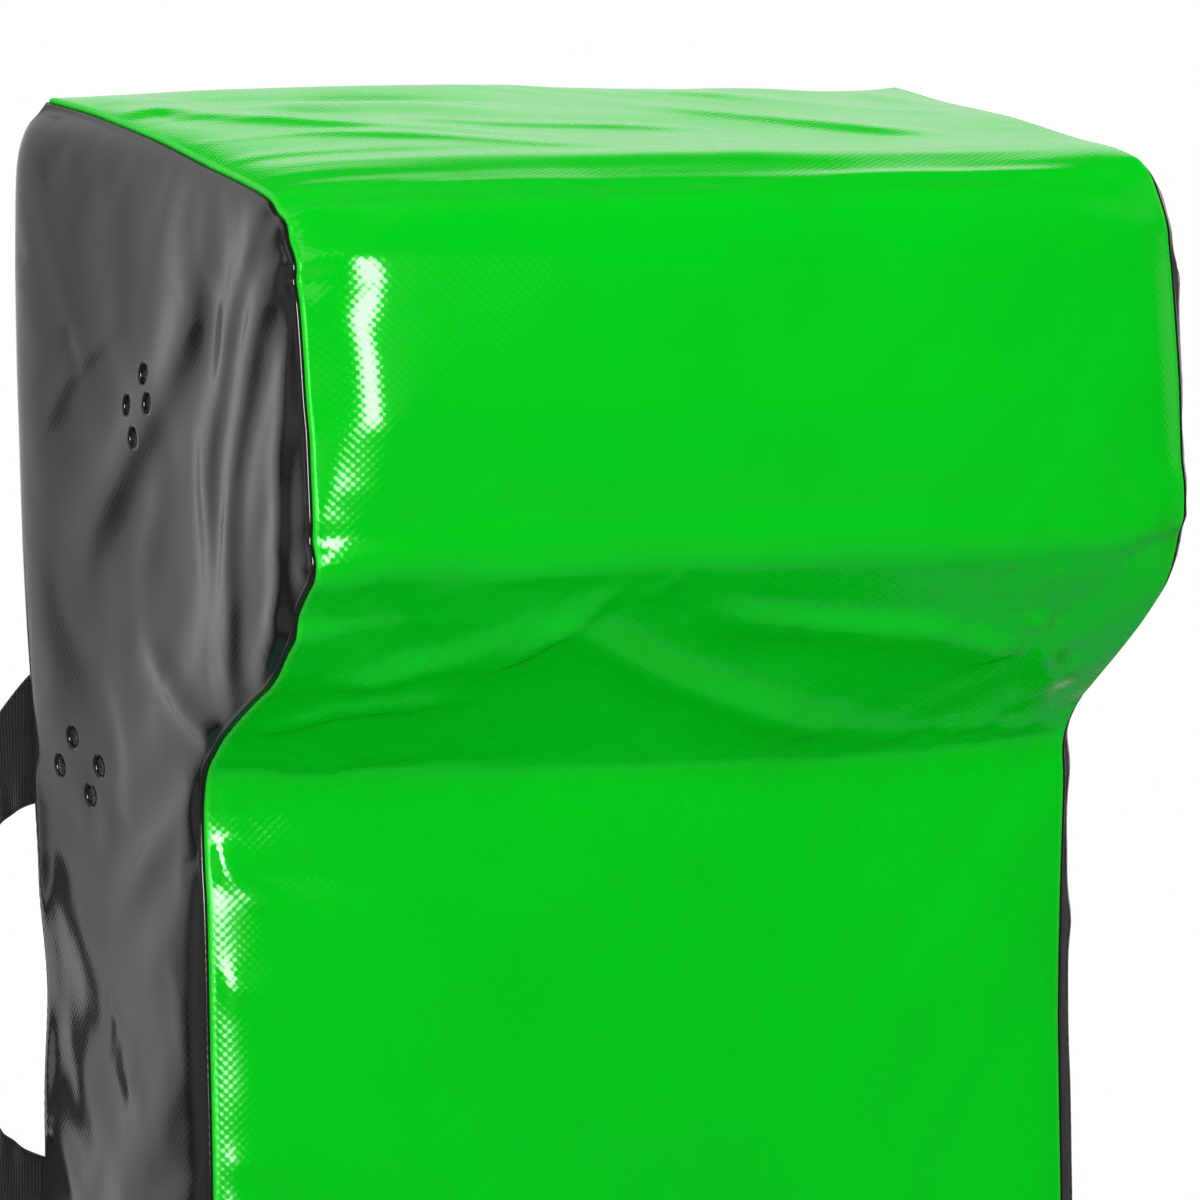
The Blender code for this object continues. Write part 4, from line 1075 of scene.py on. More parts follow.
# Folds in the back sheets, by distance from the zip and height: mostly drawn from the handle ends.
BACK_FOLDS = {
    -1: [
        ([(0.150, 0.640), (0.110, 0.655), (0.060, 0.690), (0.015, 0.700)], 1.8, 10, "soft", (0.2, 0.3)),
        ([(0.150, 0.610), (0.105, 0.600), (0.055, 0.575), (0.012, 0.572)], 1.6, 9, "soft", (0.2, 0.3)),
        ([(0.150, 0.400), (0.100, 0.385), (0.050, 0.395), (0.010, 0.380)], 1.7, 10, "soft", (0.2, 0.3)),
        ([(0.190, 0.905), (0.150, 0.870), (0.090, 0.850), (0.030, 0.855)], 2.0, 12, "soft", (0.15, 0.4)),
        ([(0.195, 0.030), (0.150, 0.075), (0.090, 0.100), (0.030, 0.095)], 1.8, 12, "soft", (0.15, 0.4)),
    ],
    1: [
        ([(0.150, 0.650), (0.115, 0.680), (0.070, 0.705), (0.020, 0.700)], 1.8, 10, "soft", (0.2, 0.3)),
        ([(0.150, 0.605), (0.100, 0.590), (0.050, 0.600), (0.012, 0.590)], 1.5, 9, "soft", (0.2, 0.3)),
        ([(0.150, 0.410), (0.110, 0.425), (0.060, 0.410), (0.010, 0.415)], 1.6, 10, "soft", (0.2, 0.3)),
        ([(0.190, 0.900), (0.140, 0.875), (0.080, 0.880), (0.025, 0.868)], 1.9, 12, "soft", (0.15, 0.4)),
        ([(0.195, 0.035), (0.145, 0.065), (0.080, 0.070), (0.020, 0.085)], 1.8, 12, "soft", (0.15, 0.4)),
    ],
}


def back_shape(side, t, z):
    """The back sheet's bulge and its sideways and upward shifts, by distance t from the zip and height z."""
    width = HALF_W - WINDOW
    zip_, seam, foot, top = t, np.maximum(width - t - EDGE_A, 0), np.maximum(z - EDGE_A, 0), np.maximum(TOP_BACK_Z - z - EDGE_A, 0)
    full = keyed(z, [(0, 3.0), (0.2, 6.0), (0.5, 5.0), (0.75, 7.0), (0.932, 4.0)]) / 1000
    out = full * ease(zip_, 0.030) * ease(seam, 0.016) * ease(foot, 0.02) * ease(top, 0.018)
    out = out + (0.0014 * noise(t / 0.09, z / 0.10, 21 + side) + 0.0007 * noise(t / 0.04, z / 0.05, 25 + side)) * (
        ease(zip_, 0.02) * ease(seam, 0.02) * ease(foot, 0.02) * ease(top, 0.02)
    )
    near = np.exp(-seam / 0.035) * ease(foot, 0.004) * ease(top, 0.002)
    out = out + keyed(z, BACK_SEAM_Y[side]) / 1000 * near
    wide = keyed(z, BACK_SEAM_X[side]) / 1000 * near * ease(top, 0.009) + CORNER_OUT[side] * np.exp(-(seam + top) / CORNER_REACH)
    up, set_back = top_seam(side * (WINDOW + t))
    high = np.exp(-top / 0.05)
    rise = ease(zip_, 0.004) * ease(seam, 0.003) * ease(foot, 0.003) * ease(top, 0.003)
    if WITH_FOLDS:
        for path, height, width_, kind, fade in BACK_FOLDS[side]:
            out = out + fold(t, z, path, height / 1000, width_ / 1000, kind, fade) * rise
        out = out + 0.9 * wrinkle("back", side * (WINDOW + t), z) * ease(zip_, 0.012) * ease(seam, 0.012) * ease(foot, 0.012) * ease(top, 0.012)
    return out + set_back * high, wide, up * high


def back_point(side, t, z, depth=0.0):
    out, wide, up = back_shape(side, t, z)
    return np.stack([side * (WINDOW + t + wide), BACK_Y + out - depth, z + up], -1)


def back_sheet(side, name, stands_for):
    pos_t, depth_t = axis(HALF_W - WINDOW, hem_edge(), seam_edge(), 0.0036)
    pos_z, depth_z = axis(TOP_BACK_Z, seam_edge(), seam_edge(), 0.0036)
    t, z = np.meshgrid(pos_t, pos_z)
    pts = back_point(side, t, z, np.maximum(depth_t[None, :], depth_z[:, None]))
    return piece(name, grid_mesh(name, pts, np.stack([t, z], -1), flip=side > 0), BLACK, stands_for=stands_for)



# ---- cloth simulation: the cover is a little too big for its foam ----------
CELL = 0.0095


def cover_net():
    """The whole cover as one coarse closed net, and where each panel's points are in it."""
    ns, nx = int(round(END / CELL)), int(round(2 * HALF_W / CELL))
    nb, nz = int(round((BACK_Y - LOWER_Y) / CELL)), int(round(TOP_BACK_Z / CELL))
    s, x = np.linspace(0, END, ns + 1), np.linspace(-HALF_W, HALF_W, nx + 1)
    z, y = np.linspace(TOP_BACK_Z, 0, nz + 1), np.linspace(LOWER_Y, BACK_Y, nb + 1)
    X, S = np.meshgrid(x, s)
    front = np.arange(X.size).reshape(X.shape)
    spots = [front_point(X, S).reshape(-1, 3)]
    _, _, ny, nz_ = OUT.at(S)
    normals = [np.stack([0 * X, ny, nz_], -1).reshape(-1, 3)]
    held = np.zeros(X.shape, bool)
    held[0] = held[-1] = held[:, 0] = held[:, -1] = True
    pins = [held.ravel()]
    # the back, whose first row is the sheet's first
    XB, ZB = np.meshgrid(x, z[1:])
    back = np.vstack([front[:1], X.size + np.arange(XB.size).reshape(XB.shape)])
    side_ = np.where(XB < 0, -1, 1)
    t = np.maximum(np.abs(XB) - WINDOW, 0.0)
    made = np.where((side_ < 0)[..., None], back_point(-1, t, ZB), back_point(1, t, ZB))
    made[np.abs(XB) < WINDOW, 0] = XB[np.abs(XB) < WINDOW]
    spots.append(made.reshape(-1, 3))
    normals.append(np.tile([0.0, 1.0, 0.0], (XB.size, 1)))
    held = np.zeros(XB.shape, bool)
    held[-1] = held[:, 0] = held[:, -1] = True
    pins.append((held | (np.abs(XB) < WINDOW)).ravel())
    # the base, between the sheet's last row and the back's
    XG, YG = np.meshgrid(x, y[1:-1])
    ground = np.vstack([front[-1:], X.size + XB.size + np.arange(XG.size).reshape(XG.shape), back[-1:]])
    spots.append(np.stack([XG, YG, 0 * XG], -1).reshape(-1, 3))
    normals.append(np.tile([0.0, 0.0, -1.0], (XG.size, 1)))
    pins.append(np.ones(XG.size, bool))

    def cells(index):
        return np.stack([index[:-1, :-1], index[:-1, 1:], index[1:, 1:], index[1:, :-1]], -1).reshape(-1, 4)

    faces = cells(front).tolist() + cells(back)[:, ::-1].tolist() + cells(ground)[:, ::-1].tolist()
    at = sum(len(part) for part in spots)
    inner = {}
    for side, col in ((-1, 0), (1, nx)):
        ring = np.concatenate([front[:, col], ground[1:-1, col], back[::-1, col][:-1]])
        flat = np.vstack(spots)[ring][:, 1:].copy()
        flat[len(front) + len(ground) - 2 :, 0] = BACK_Y
        loop = np.vstack([flat, flat[:1]])
        gy, gz = np.meshgrid(np.arange(-0.27, 0.13, CELL), np.arange(0.004, 0.96, CELL * 0.87))
        gy = gy + (np.arange(len(gy)) % 2)[:, None] * CELL / 2
        inside = np.stack([gy.ravel(), gz.ravel()], 1)
        inside = inside[in_polygon(inside, flat)]
        inside = inside[distance_to(inside[:, 0], inside[:, 1], loop[:, 0], loop[:, 1]) > 0.6 * CELL]
        made = geometry.delaunay_2d_cdt([Vector(p) for p in np.vstack([flat, inside]).tolist()],
                                        [(i, (i + 1) % len(flat)) for i in range(len(flat))], [], 1, 1e-7)
        names = np.concatenate([ring, at + np.arange(len(inside))])
        source = {new: olds[0] for new, olds in enumerate(made[3])}
        for f in made[2]:
            f = [int(names[source[i]]) for i in f]
            faces.append(f if side > 0 else f[::-1])
        by, bz, _, _, corner = boundary(side)
        out, set_back = panel_shape(side, inside[:, 0], inside[:, 1], distance_to(inside[:, 0], inside[:, 1], by[:corner], bz[:corner]),
                                    BACK_Y - inside[:, 0], inside[:, 1])
        spots.append(np.stack([side * (HALF_W + out), inside[:, 0] + set_back, inside[:, 1]], 1))
        normals.append(np.tile([float(side), 0.0, 0.0], (len(inside), 1)))
        pins.append(np.zeros(len(inside), bool))
        inner[side] = (at + np.arange(len(inside)), inside)
        at += len(inside)
    return np.vstack(spots), np.vstack(normals), faces, np.concatenate(pins), front, back, inner


def simulate_cover(frames=20, excess=0.007):
    """Blender's cloth on the net: held at its seams, slightly too big, lying on foam, under some gravity."""
    spots, normals, faces, pins, front, back, inner = cover_net()
    scene = bpy.context.scene
    mesh = bpy.data.meshes.new("cover_net")
    mesh.from_pydata(spots.tolist(), [], faces)
    mesh.update()
    net = bpy.data.objects.new("cover_net", mesh)
    scene.collection.objects.link(net)
    group = net.vertex_groups.new(name="seams")
    group.add([int(i) for i in np.where(pins)[0]], 1.0, "REPLACE")
    bulk_mesh = mesh.copy()
    lean_ = np.array([v.normal for v in bulk_mesh.vertices])
    bulk_mesh.vertices.foreach_set("co", (spots - lean_ * 0.0065).astype(np.float32).ravel())
    bulk_mesh.update()
    bulk = bpy.data.objects.new("cover_bulk", bulk_mesh)
    scene.collection.objects.link(bulk)
    bulk.modifiers.new("solid", "COLLISION")
    bulk.collision.thickness_outer = 0.0015
    bulk.collision.cloth_friction = 20
    cloth = net.modifiers.new("cloth", "CLOTH")
    st = cloth.settings
    st.quality = 6
    st.mass = 0.25
    st.tension_stiffness = st.compression_stiffness = 40
    st.shear_stiffness = 12
    st.bending_model = "ANGULAR"
    st.bending_stiffness = 2.5
    st.tension_damping = st.compression_damping = st.shear_damping = 15
    st.bending_damping = 2
    st.air_damping = 4
    st.vertex_group_mass = "seams"
    st.pin_stiffness = 1
    st.shrink_min = st.shrink_max = -excess
    st.use_pressure = True
    st.uniform_pressure_force = -0.2
    st.effector_weights.gravity = 0.35
    cloth.collision_settings.use_collision = True
    cloth.collision_settings.distance_min = 0.002
    cloth.collision_settings.collision_quality = 2
    cloth.point_cache.frame_start, cloth.point_cache.frame_end = 1, frames + 1
    for f in range(1, frames + 1):
        scene.frame_set(f)
    made = net.evaluated_get(bpy.context.evaluated_depsgraph_get()).data
    moved = np.zeros(len(spots) * 3, np.float32)
    made.vertices.foreach_get("co", moved)
    moved = ((moved.reshape(-1, 3) - spots) * normals).sum(1)
    for obj in (net, bulk):
        bpy.data.objects.remove(obj, do_unlink=True)
    scene.frame_set(1)

    def tidy(values, cell_u, cell_v):
        """Only the wrinkles: the broad shape taken off, and no point further than 6 mm."""
        values = values - blurred(values, 0.045 / max(cell_u, cell_v))
        return 0.006 * np.tanh(values / 0.006)

    du, ds, dz_ = 2 * HALF_W / (front.shape[1] - 1), END / (front.shape[0] - 1), TOP_BACK_Z / (back.shape[0] - 1)
    WRINKLES["front"] = Field(tidy(moved[front], du, ds), -HALF_W, 0.0, du, ds)
    WRINKLES["back"] = Field(tidy(moved[back][::-1], du, dz_), -HALF_W, 0.0, du, dz_)
    for side, (index, inside) in inner.items():
        gy, gz = np.arange(-0.262, 0.118, 0.005), np.arange(0.0, 0.945, 0.005)
        ky = np.exp(-0.5 * ((gy[:, None] - inside[None, :, 0]) / 0.0050) ** 2)
        kz = np.exp(-0.5 * ((gz[:, None] - inside[None, :, 1]) / 0.0050) ** 2)
        total = kz @ ky.T
        values = (kz * moved[index][None]) @ ky.T / np.maximum(total, 1e-3)
        WRINKLES[side] = Field(tidy(values, 0.005, 0.005), gy[0], gz[0], 0.005, 0.005)


WITH_FOLDS = False
simulate_cover()
WITH_FOLDS = True

front = front_sheet()
side_panel(-1, "left_side_sheet", ("left_side_panel",))
side_panel(1, "right_side_sheet", ("right_side_panel",))
back_sheet(-1, "left_back_sheet", ("back_panel_left",))
back_sheet(1, "right_back_sheet", ("back_panel_right",))

# ---- the base: the heavy sheet that the pad stands on ---------------------
pos_u, depth_u = axis(2 * HALF_W, seam_edge(), seam_edge(), 0.0090, 0.0015)
pos_v, depth_v = axis(BACK_Y - LOWER_Y, seam_edge(), seam_edge(), 0.0090, 0.0015)
U, V = np.meshgrid(pos_u - HALF_W, pos_v + LOWER_Y)
pts = np.stack([U, V, np.maximum(depth_u[None, :], depth_v[:, None])], -1)
base_sheet = piece("base_sheet", grid_mesh("base_sheet", pts, np.stack([U, V], -1), flip=True), BLACK,
                   stands_for=("base_panel",))


# ---- foam: cut blocks that the cover is drawn over ------------------------
def inset_outline(inset):
    """The pad's side outline moved in, as a closed loop of (y, z)."""
    s = np.linspace(0, END, 420)
    y, z, ny, nz = OUT.at(s)
    front = np.stack([y - ny * inset, z - nz * inset], 1)
    front = front[(front[:, 0] < BACK_Y - inset) & (front[:, 1] > inset * 0.6)]
    return np.vstack([front, [[front[-1, 0], inset * 0.6], [BACK_Y - inset, inset * 0.6], [BACK_Y - inset, front[0, 1]]]])


def clip(points, a, b, limit):
    """The loop's part where a * y + b * z is more than limit."""
    kept = []
    for p, q in zip(points, np.roll(points, -1, axis=0)):
        fp, fq = a * p[0] + b * p[1] - limit, a * q[0] + b * q[1] - limit
        if fp > 0:
            kept.append(p)
        if (fp > 0) != (fq > 0):
            kept.append(p + (q - p) * fp / (fp - fq))
    return np.array(kept)


def resampled(loop, step):
    """A closed loop with points about step apart that keeps its corners."""
    out = []
    for p, q in zip(loop, np.roll(loop, -1, axis=0)):
        count = max(1, int(round(np.hypot(*(q - p)) / step)))
        out += [p + (q - p) * k / count for k in range(count)]
    out = np.array(out)
    keep = [0]
    for i in range(1, len(out)):
        if np.hypot(*(out[i] - out[keep[-1]])) > step * 0.3:
            keep.append(i)
    return out[keep]


PANEL_EDGE = {side: boundary(side) for side in (-1, 1)}


def panel_x(side, y, z):
    by, bz, _, _, corner = PANEL_EDGE[side]
    from_front = distance_to(y, z, by[:corner], bz[:corner])
    out, _ = panel_shape(side, y, z, from_front, BACK_Y - y, z)
    return side * (HALF_W + out)


def foam_block(name, loop, mat, skin):
    """A block between two side faces that lie just under the side panels, with softened edges."""
    loop = resampled(loop, 0.008)
    count = len(loop)
    soft = 0.004
    centre = loop.mean(0)
    nxt, prv = np.roll(loop, -1, axis=0), np.roll(loop, 1, axis=0)
    tan = nxt - prv
    nrm = np.stack([tan[:, 1], -tan[:, 0]], 1) / np.maximum(np.hypot(*tan.T), 1e-9)[:, None]
    if ((loop[:, 0] * nxt[:, 1] - nxt[:, 0] * loop[:, 1]).sum()) > 0:
        nrm = -nrm
    low, high = loop.min(0), loop.max(0)
    inner = loop + nrm * soft
    gy, gz = np.meshgrid(np.arange(low[0], high[0], 0.007), np.arange(low[1], high[1], 0.007))
    inside = np.stack([gy.ravel(), gz.ravel()], 1)
    inside = inside[in_polygon(inside, inner)]
    closed = np.vstack([inner, inner[:1]])
    inside = inside[distance_to(inside[:, 0], inside[:, 1], closed[:, 0], closed[:, 1]) > 0.003]
    flat = np.vstack([inner, inside])
    made = geometry.delaunay_2d_cdt([Vector(p) for p in flat.tolist()], [(i, (i + 1) % count) for i in range(count)], [], 1, 1e-7)
    spots = np.array([tuple(p) for p in made[0]])
    tris = [list(f) for f in made[2]]
    back_to = {}
    for new, olds in enumerate(made[3]):
        for old in olds:
            back_to[old] = new
    pts, faces = [], []
    sides = {}
    for side in (-1, 1):
        x = panel_x(side, spots[:, 0], spots[:, 1]) - side * skin
        sides[side] = len(pts)
        pts += np.stack([x, spots[:, 0], spots[:, 1]], 1).tolist()
        faces += [[i + sides[side] for i in (f if side > 0 else f[::-1])] for f in tris]
    rims = {}
    for side in (-1, 1):
        rims[side] = len(pts)
        x = panel_x(side, inner[:, 0], inner[:, 1]) - side * (skin + soft)
        pts += np.stack([x, loop[:, 0], loop[:, 1]], 1).tolist()
    for i in range(count):
        j = (i + 1) % count
        for side in (-1, 1):
            a, b = sides[side] + back_to[i], sides[side] + back_to[j]
            c, d = rims[side] + j, rims[side] + i
            faces.append([a, b, c, d] if side < 0 else [a, d, c, b])
        faces.append([rims[-1] + i, rims[-1] + j, rims[1] + j, rims[1] + i])
    pts = np.array(pts)
    mesh = raw_mesh(name, pts, faces, np.stack([pts[:, 1], pts[:, 2]], 1))
    bm = bmesh.new()
    bm.from_mesh(mesh)
    bmesh.ops.remove_doubles(bm, verts=bm.verts, dist=1e-6)
    bmesh.ops.recalc_face_normals(bm, faces=bm.faces[:])
    bm.to_mesh(mesh)
    bm.free()
    mesh.shade_smooth()
    return piece(name, mesh, mat, stands_for=(finish_of[name],))


def foam_material(name, color, specks):
    """Cut open-cell foam: pits of many sizes, with their colour darkened inside as painted shade."""
    n = Nodes(name)
    at = n.add("ShaderNodeTexCoord").outputs["Object"]
    cells = n.add("ShaderNodeTexVoronoi", feature="F1")
    n.plug(cells.inputs["Vector"], at)
    cells.inputs["Scale"].default_value = 700.0
    pits = n.ramp(cells.outputs["Distance"], 0.1, 0.6)
    crumbs = n.ramp(n.noise(at, 260.0, 3.0, 0.6), 0.45, 0.65)
    tone = n.noise(at, 40.0, 3.0)
    # the pits take 0.55 of the foam's colour: painted shade in the pores
    mixed = n.mix(pits, tuple(c * 0.55 for c in color), n.mix(n.ramp(tone, 0.3, 0.7), color, tuple(c * 0.85 for c in color)))
    n.set(
        color=n.mix(n.math("MULTIPLY", crumbs, 0.5), mixed, specks),
        rough=0.95,
        normal=n.bump(n.math("ADD", pits, crumbs), 0.0006),
        specular=0.1,
    )
    return n.mat


FOAM = foam_material("foam_soft", (0.62, 0.62, 0.52), (0.75, 0.76, 0.70))
# the core shows only through the vents, and its dark grey is painted shade: it stands for the shadow inside the holes
CORE_PAINTED_SHADE = foam_material("foam_core", (0.115, 0.118, 0.115), (0.30, 0.24, 0.20))
FIRM = foam_material("foam_firm", (0.20, 0.21, 0.22), (0.55, 0.30, 0.22))
finish_of = {
    "back_slab": "foam_back_slab", "foam_body": "foam_core", "foam_head": "foam_nose",
    "face_layer_upper": "upper_face_pad", "face_layer_lower": "lower_face_pad",
}
loop = inset_outline(0.0150)
slab_front, core_front, head_floor = BACK_Y - 0.0326, LOWER_Y + 0.0265, 0.642
foam_block("back_slab", clip(loop, 1, 0, slab_front), FIRM, 0.0030)
foam_block("foam_body", clip(clip(loop, -1, 0, -(slab_front - 0.0004)), 1, 0, core_front), CORE_PAINTED_SHADE, 0.0030)
front_part = clip(loop, -1, 0, -(core_front - 0.0004))
head = clip(front_part, 0, 1, head_floor)
lean = math.hypot(0.901 - 0.742, -0.226 + 0.240)
face_n = ((0.901 - 0.742) / lean, -(-0.226 + 0.240) / lean)
face_at = face_n[0] * -0.240 + face_n[1] * 0.742 + 0.0300
foam_block("foam_head", clip(head, *face_n, face_at + 0.0004), FOAM, 0.0030)
foam_block("face_layer_upper", clip(head, -face_n[0], -face_n[1], -face_at), FOAM, 0.0030)
foam_block("face_layer_lower", clip(front_part, 0, -1, -(head_floor - 0.0004)), FOAM, 0.0030)

# ---- stitches -------------------------------------------------------------
def stitches(name, rows, body=PAD, length=0.0034, gap=0.0009, radius=0.00034):
    """Rows of thread: each row is its points, and the surface's normals there."""
    parts, faces, coords, at = [], [], [], 0
    for line, normal in rows:
        line, normal = np.asarray(line, float), np.asarray(normal, float)
        along_ = np.concatenate([[0], np.cumsum(np.linalg.norm(np.diff(line, axis=0), axis=1))])
        count = int(along_[-1] / (length + gap))
        if count < 1:
            continue
        pitch = along_[-1] / count
        where = (np.arange(count) * pitch)[:, None] + gap / 2 + (pitch - gap) * np.array([0.0, 0.12, 0.35, 0.65, 0.88, 1.0])[None]
        c = np.stack([np.interp(where, along_, line[:, i]) for i in range(3)], -1)
        up = np.stack([np.interp(where, along_, normal[:, i]) for i in range(3)], -1)
        up /= np.linalg.norm(up, axis=-1, keepdims=True)
        way = c[:, 5:6] - c[:, 0:1]
        way /= np.linalg.norm(way, axis=-1, keepdims=True)
        across = np.cross(up, np.broadcast_to(way, up.shape))
        rise = radius * np.array([-1.0, 0.0, 0.55, 0.55, 0.0, -1.0])[None, :, None]
        thick = radius * np.array([0.45, 0.9, 1.0, 1.0, 0.9, 0.45])[None, :, None, None]
        angle = np.arange(6) * math.pi / 3
        ring = (across[:, :, None] * np.cos(angle)[None, None, :, None] + up[:, :, None] * np.sin(angle)[None, None, :, None]) * thick
        spots = (c + up * rise)[:, :, None] + ring
        parts.append(spots.reshape(-1, 3))
        coords.append(np.stack([np.broadcast_to(where[:, :, None], spots.shape[:3]), np.broadcast_to(angle * radius, spots.shape[:3])], -1).reshape(-1, 2))
        i = np.arange(6)
        j = (i + 1) % 6
        tube = np.concatenate([np.stack([k * 6 + i, k * 6 + j, (k + 1) * 6 + j, (k + 1) * 6 + i], 1) for k in range(5)])
        caps = [[5, 4, 3, 2], [5, 2, 1, 0], [30, 31, 32, 33], [30, 33, 34, 35]]
        one = np.concatenate([tube, np.array(caps)])
        faces.append((one[None] + (at + np.arange(count) * 36)[:, None, None]).reshape(-1, 4))
        at += count * 36
    return piece(name, raw_mesh(name, np.concatenate(parts), np.concatenate(faces), np.concatenate(coords)), THREAD, body=body)


# ---- seam bindings: a tape folded round the seam allowances, inside --------
def seam_binding(side, name, stands_for):
    by, bz, iy, iz, corner = PANEL_EDGE[side]
    section = [(0.0033, 0.0029), (0.0062, 0.0036), (0.0092, 0.0044), (0.0121, 0.0052), (0.0128, 0.0060), (0.0122, 0.0068),
               (0.0090, 0.0061), (0.0058, 0.0052), (0.0029, 0.0044), (0.0024, 0.0036)]
    rings = []
    length = np.concatenate([[0], np.cumsum(np.hypot(np.diff(by), np.diff(bz)))])
    for a, depth in section:
        y, z = by + iy * a, bz + iz * a
        out, back = panel_shape(side, y, z, np.full(len(y), a), BACK_Y - y, z)
        rings.append(np.stack([side * (HALF_W + np.minimum(out, 0.004) - depth), y + back, np.maximum(z, 0.0016)], -1))
    pts = np.stack(rings, 1)
    rows, cols = pts.shape[:2]
    index = np.arange(rows * cols).reshape(rows, cols)
    nxt = np.roll(index, -1, axis=0)
    quads = np.stack([index, np.roll(index, -1, axis=1), np.roll(nxt, -1, axis=1), nxt], -1).reshape(-1, 4)
    coords = np.stack([np.broadcast_to(np.arange(cols) * 0.0030, (rows, cols)), np.broadcast_to(length[:, None], (rows, cols))], -1)
    if side < 0:
        quads = quads[:, ::-1]
    return piece(name, raw_mesh(name, pts.reshape(-1, 3), quads, coords.reshape(-1, 2)), TAPE, stands_for=stands_for)


seam_binding(-1, "left_seam_tape", ("left_seam_binding",))
seam_binding(1, "right_seam_tape", ("right_seam_binding",))


# ---- patches behind the handle ends ---------------------------------------
def patch(side, sign, name, stands_for):
    half_w, half_h, r = 0.0245, 0.042, 0.0040
    middle_t = HALF_W - 0.0305 - WINDOW
    middle_z = HANDLE_Z + sign * 0.1190
    edge = np.array([0.0, 0.0, 0.00035, 0.0010])
    lift = np.array([-0.0004, 0.0005, 0.0010, 0.0012])
    u = np.concatenate([edge, np.linspace(0.0028, 2 * half_w - 0.0028, 22), 2 * half_w - edge[::-1]]) - half_w
    lift_u = np.concatenate([lift, np.full(22, 0.0012), lift[::-1]])
    v = np.concatenate([edge, np.linspace(0.0028, 2 * half_h - 0.0028, 36), 2 * half_h - edge[::-1]]) - half_h
    lift_v = np.concatenate([lift, np.full(36, 0.0012), lift[::-1]])
    over = np.maximum(np.abs(v) - (half_h - r), 0)
    shrink = (half_w - (r - np.sqrt(np.maximum(r * r - over * over, 0)))) / half_w
    U, V = u[None, :] * shrink[:, None], np.broadcast_to(v[:, None], (len(v), len(u)))
    sag = 0.0003 * noise(U / 0.018, V / 0.022, 61 + side)
    rim = np.minimum(half_w - np.abs(U), half_h - np.abs(V))
    groove = 0.00035 * (np.exp(-(((rim - 0.0040) / 0.0012) ** 2)) + np.exp(-(((rim - 0.0082) / 0.0012) ** 2)))
    up = np.minimum(lift_u[None, :], lift_v[:, None]) + (sag - groove) * (np.minimum(lift_u[None, :], lift_v[:, None]) > 0.0011)
    pts = back_point(side, middle_t + U, middle_z + V)
    pts[..., 1] += up
    mesh = grid_mesh(name, pts, np.stack([U, V], -1), flip=side > 0)
    made = piece(name, mesh, BLACK, stands_for=stands_for)
    rows = []
    for inset in (0.0040, 0.0082):
        w, h = half_w - inset, half_h - inset
        for a, b in (((-w, -h), (w, -h)), ((w, -h), (w, h)), ((w, h), (-w, h)), ((-w, h), (-w, -h))):
            k = np.linspace(0, 1, 24)
            tt, zz = middle_t + a[0] + (b[0] - a[0]) * k, middle_z + a[1] + (b[1] - a[1]) * k
            line = back_point(side, tt, zz)
            line[..., 1] += 0.0011
            rows.append((line, np.tile([0.0, 1.0, 0.0], (24, 1))))
    stitches(name + "_stitching", rows)
    return made


for side, word in ((-1, "left"), (1, "right")):
    patch(side, 1, word + "_upper_reinforcement", (word + "_upper_patch",))
    patch(side, -1, word + "_lower_reinforcement", (word + "_lower_patch",))


# ---- handles --------------------------------------------------------------
def smooth_steps(keys, count):
    """Points on a Catmull-Rom curve through the keys, as part.py has them."""
    keys = np.array(keys, float)
    t = np.linspace(0, len(keys) - 1, count + 1)
    i = np.minimum(t.astype(int), len(keys) - 2)
    f = (t - i)[:, None]
    p0, p1, p2, p3 = keys[np.maximum(i - 1, 0)], keys[i], keys[i + 1], keys[np.minimum(i + 2, len(keys) - 1)]
    return 0.5 * (2 * p1 + (p2 - p0) * f + (2 * p0 - 5 * p1 + 4 * p2 - p3) * f**2 + (3 * p1 - p0 - 3 * p2 + p3) * f**3)


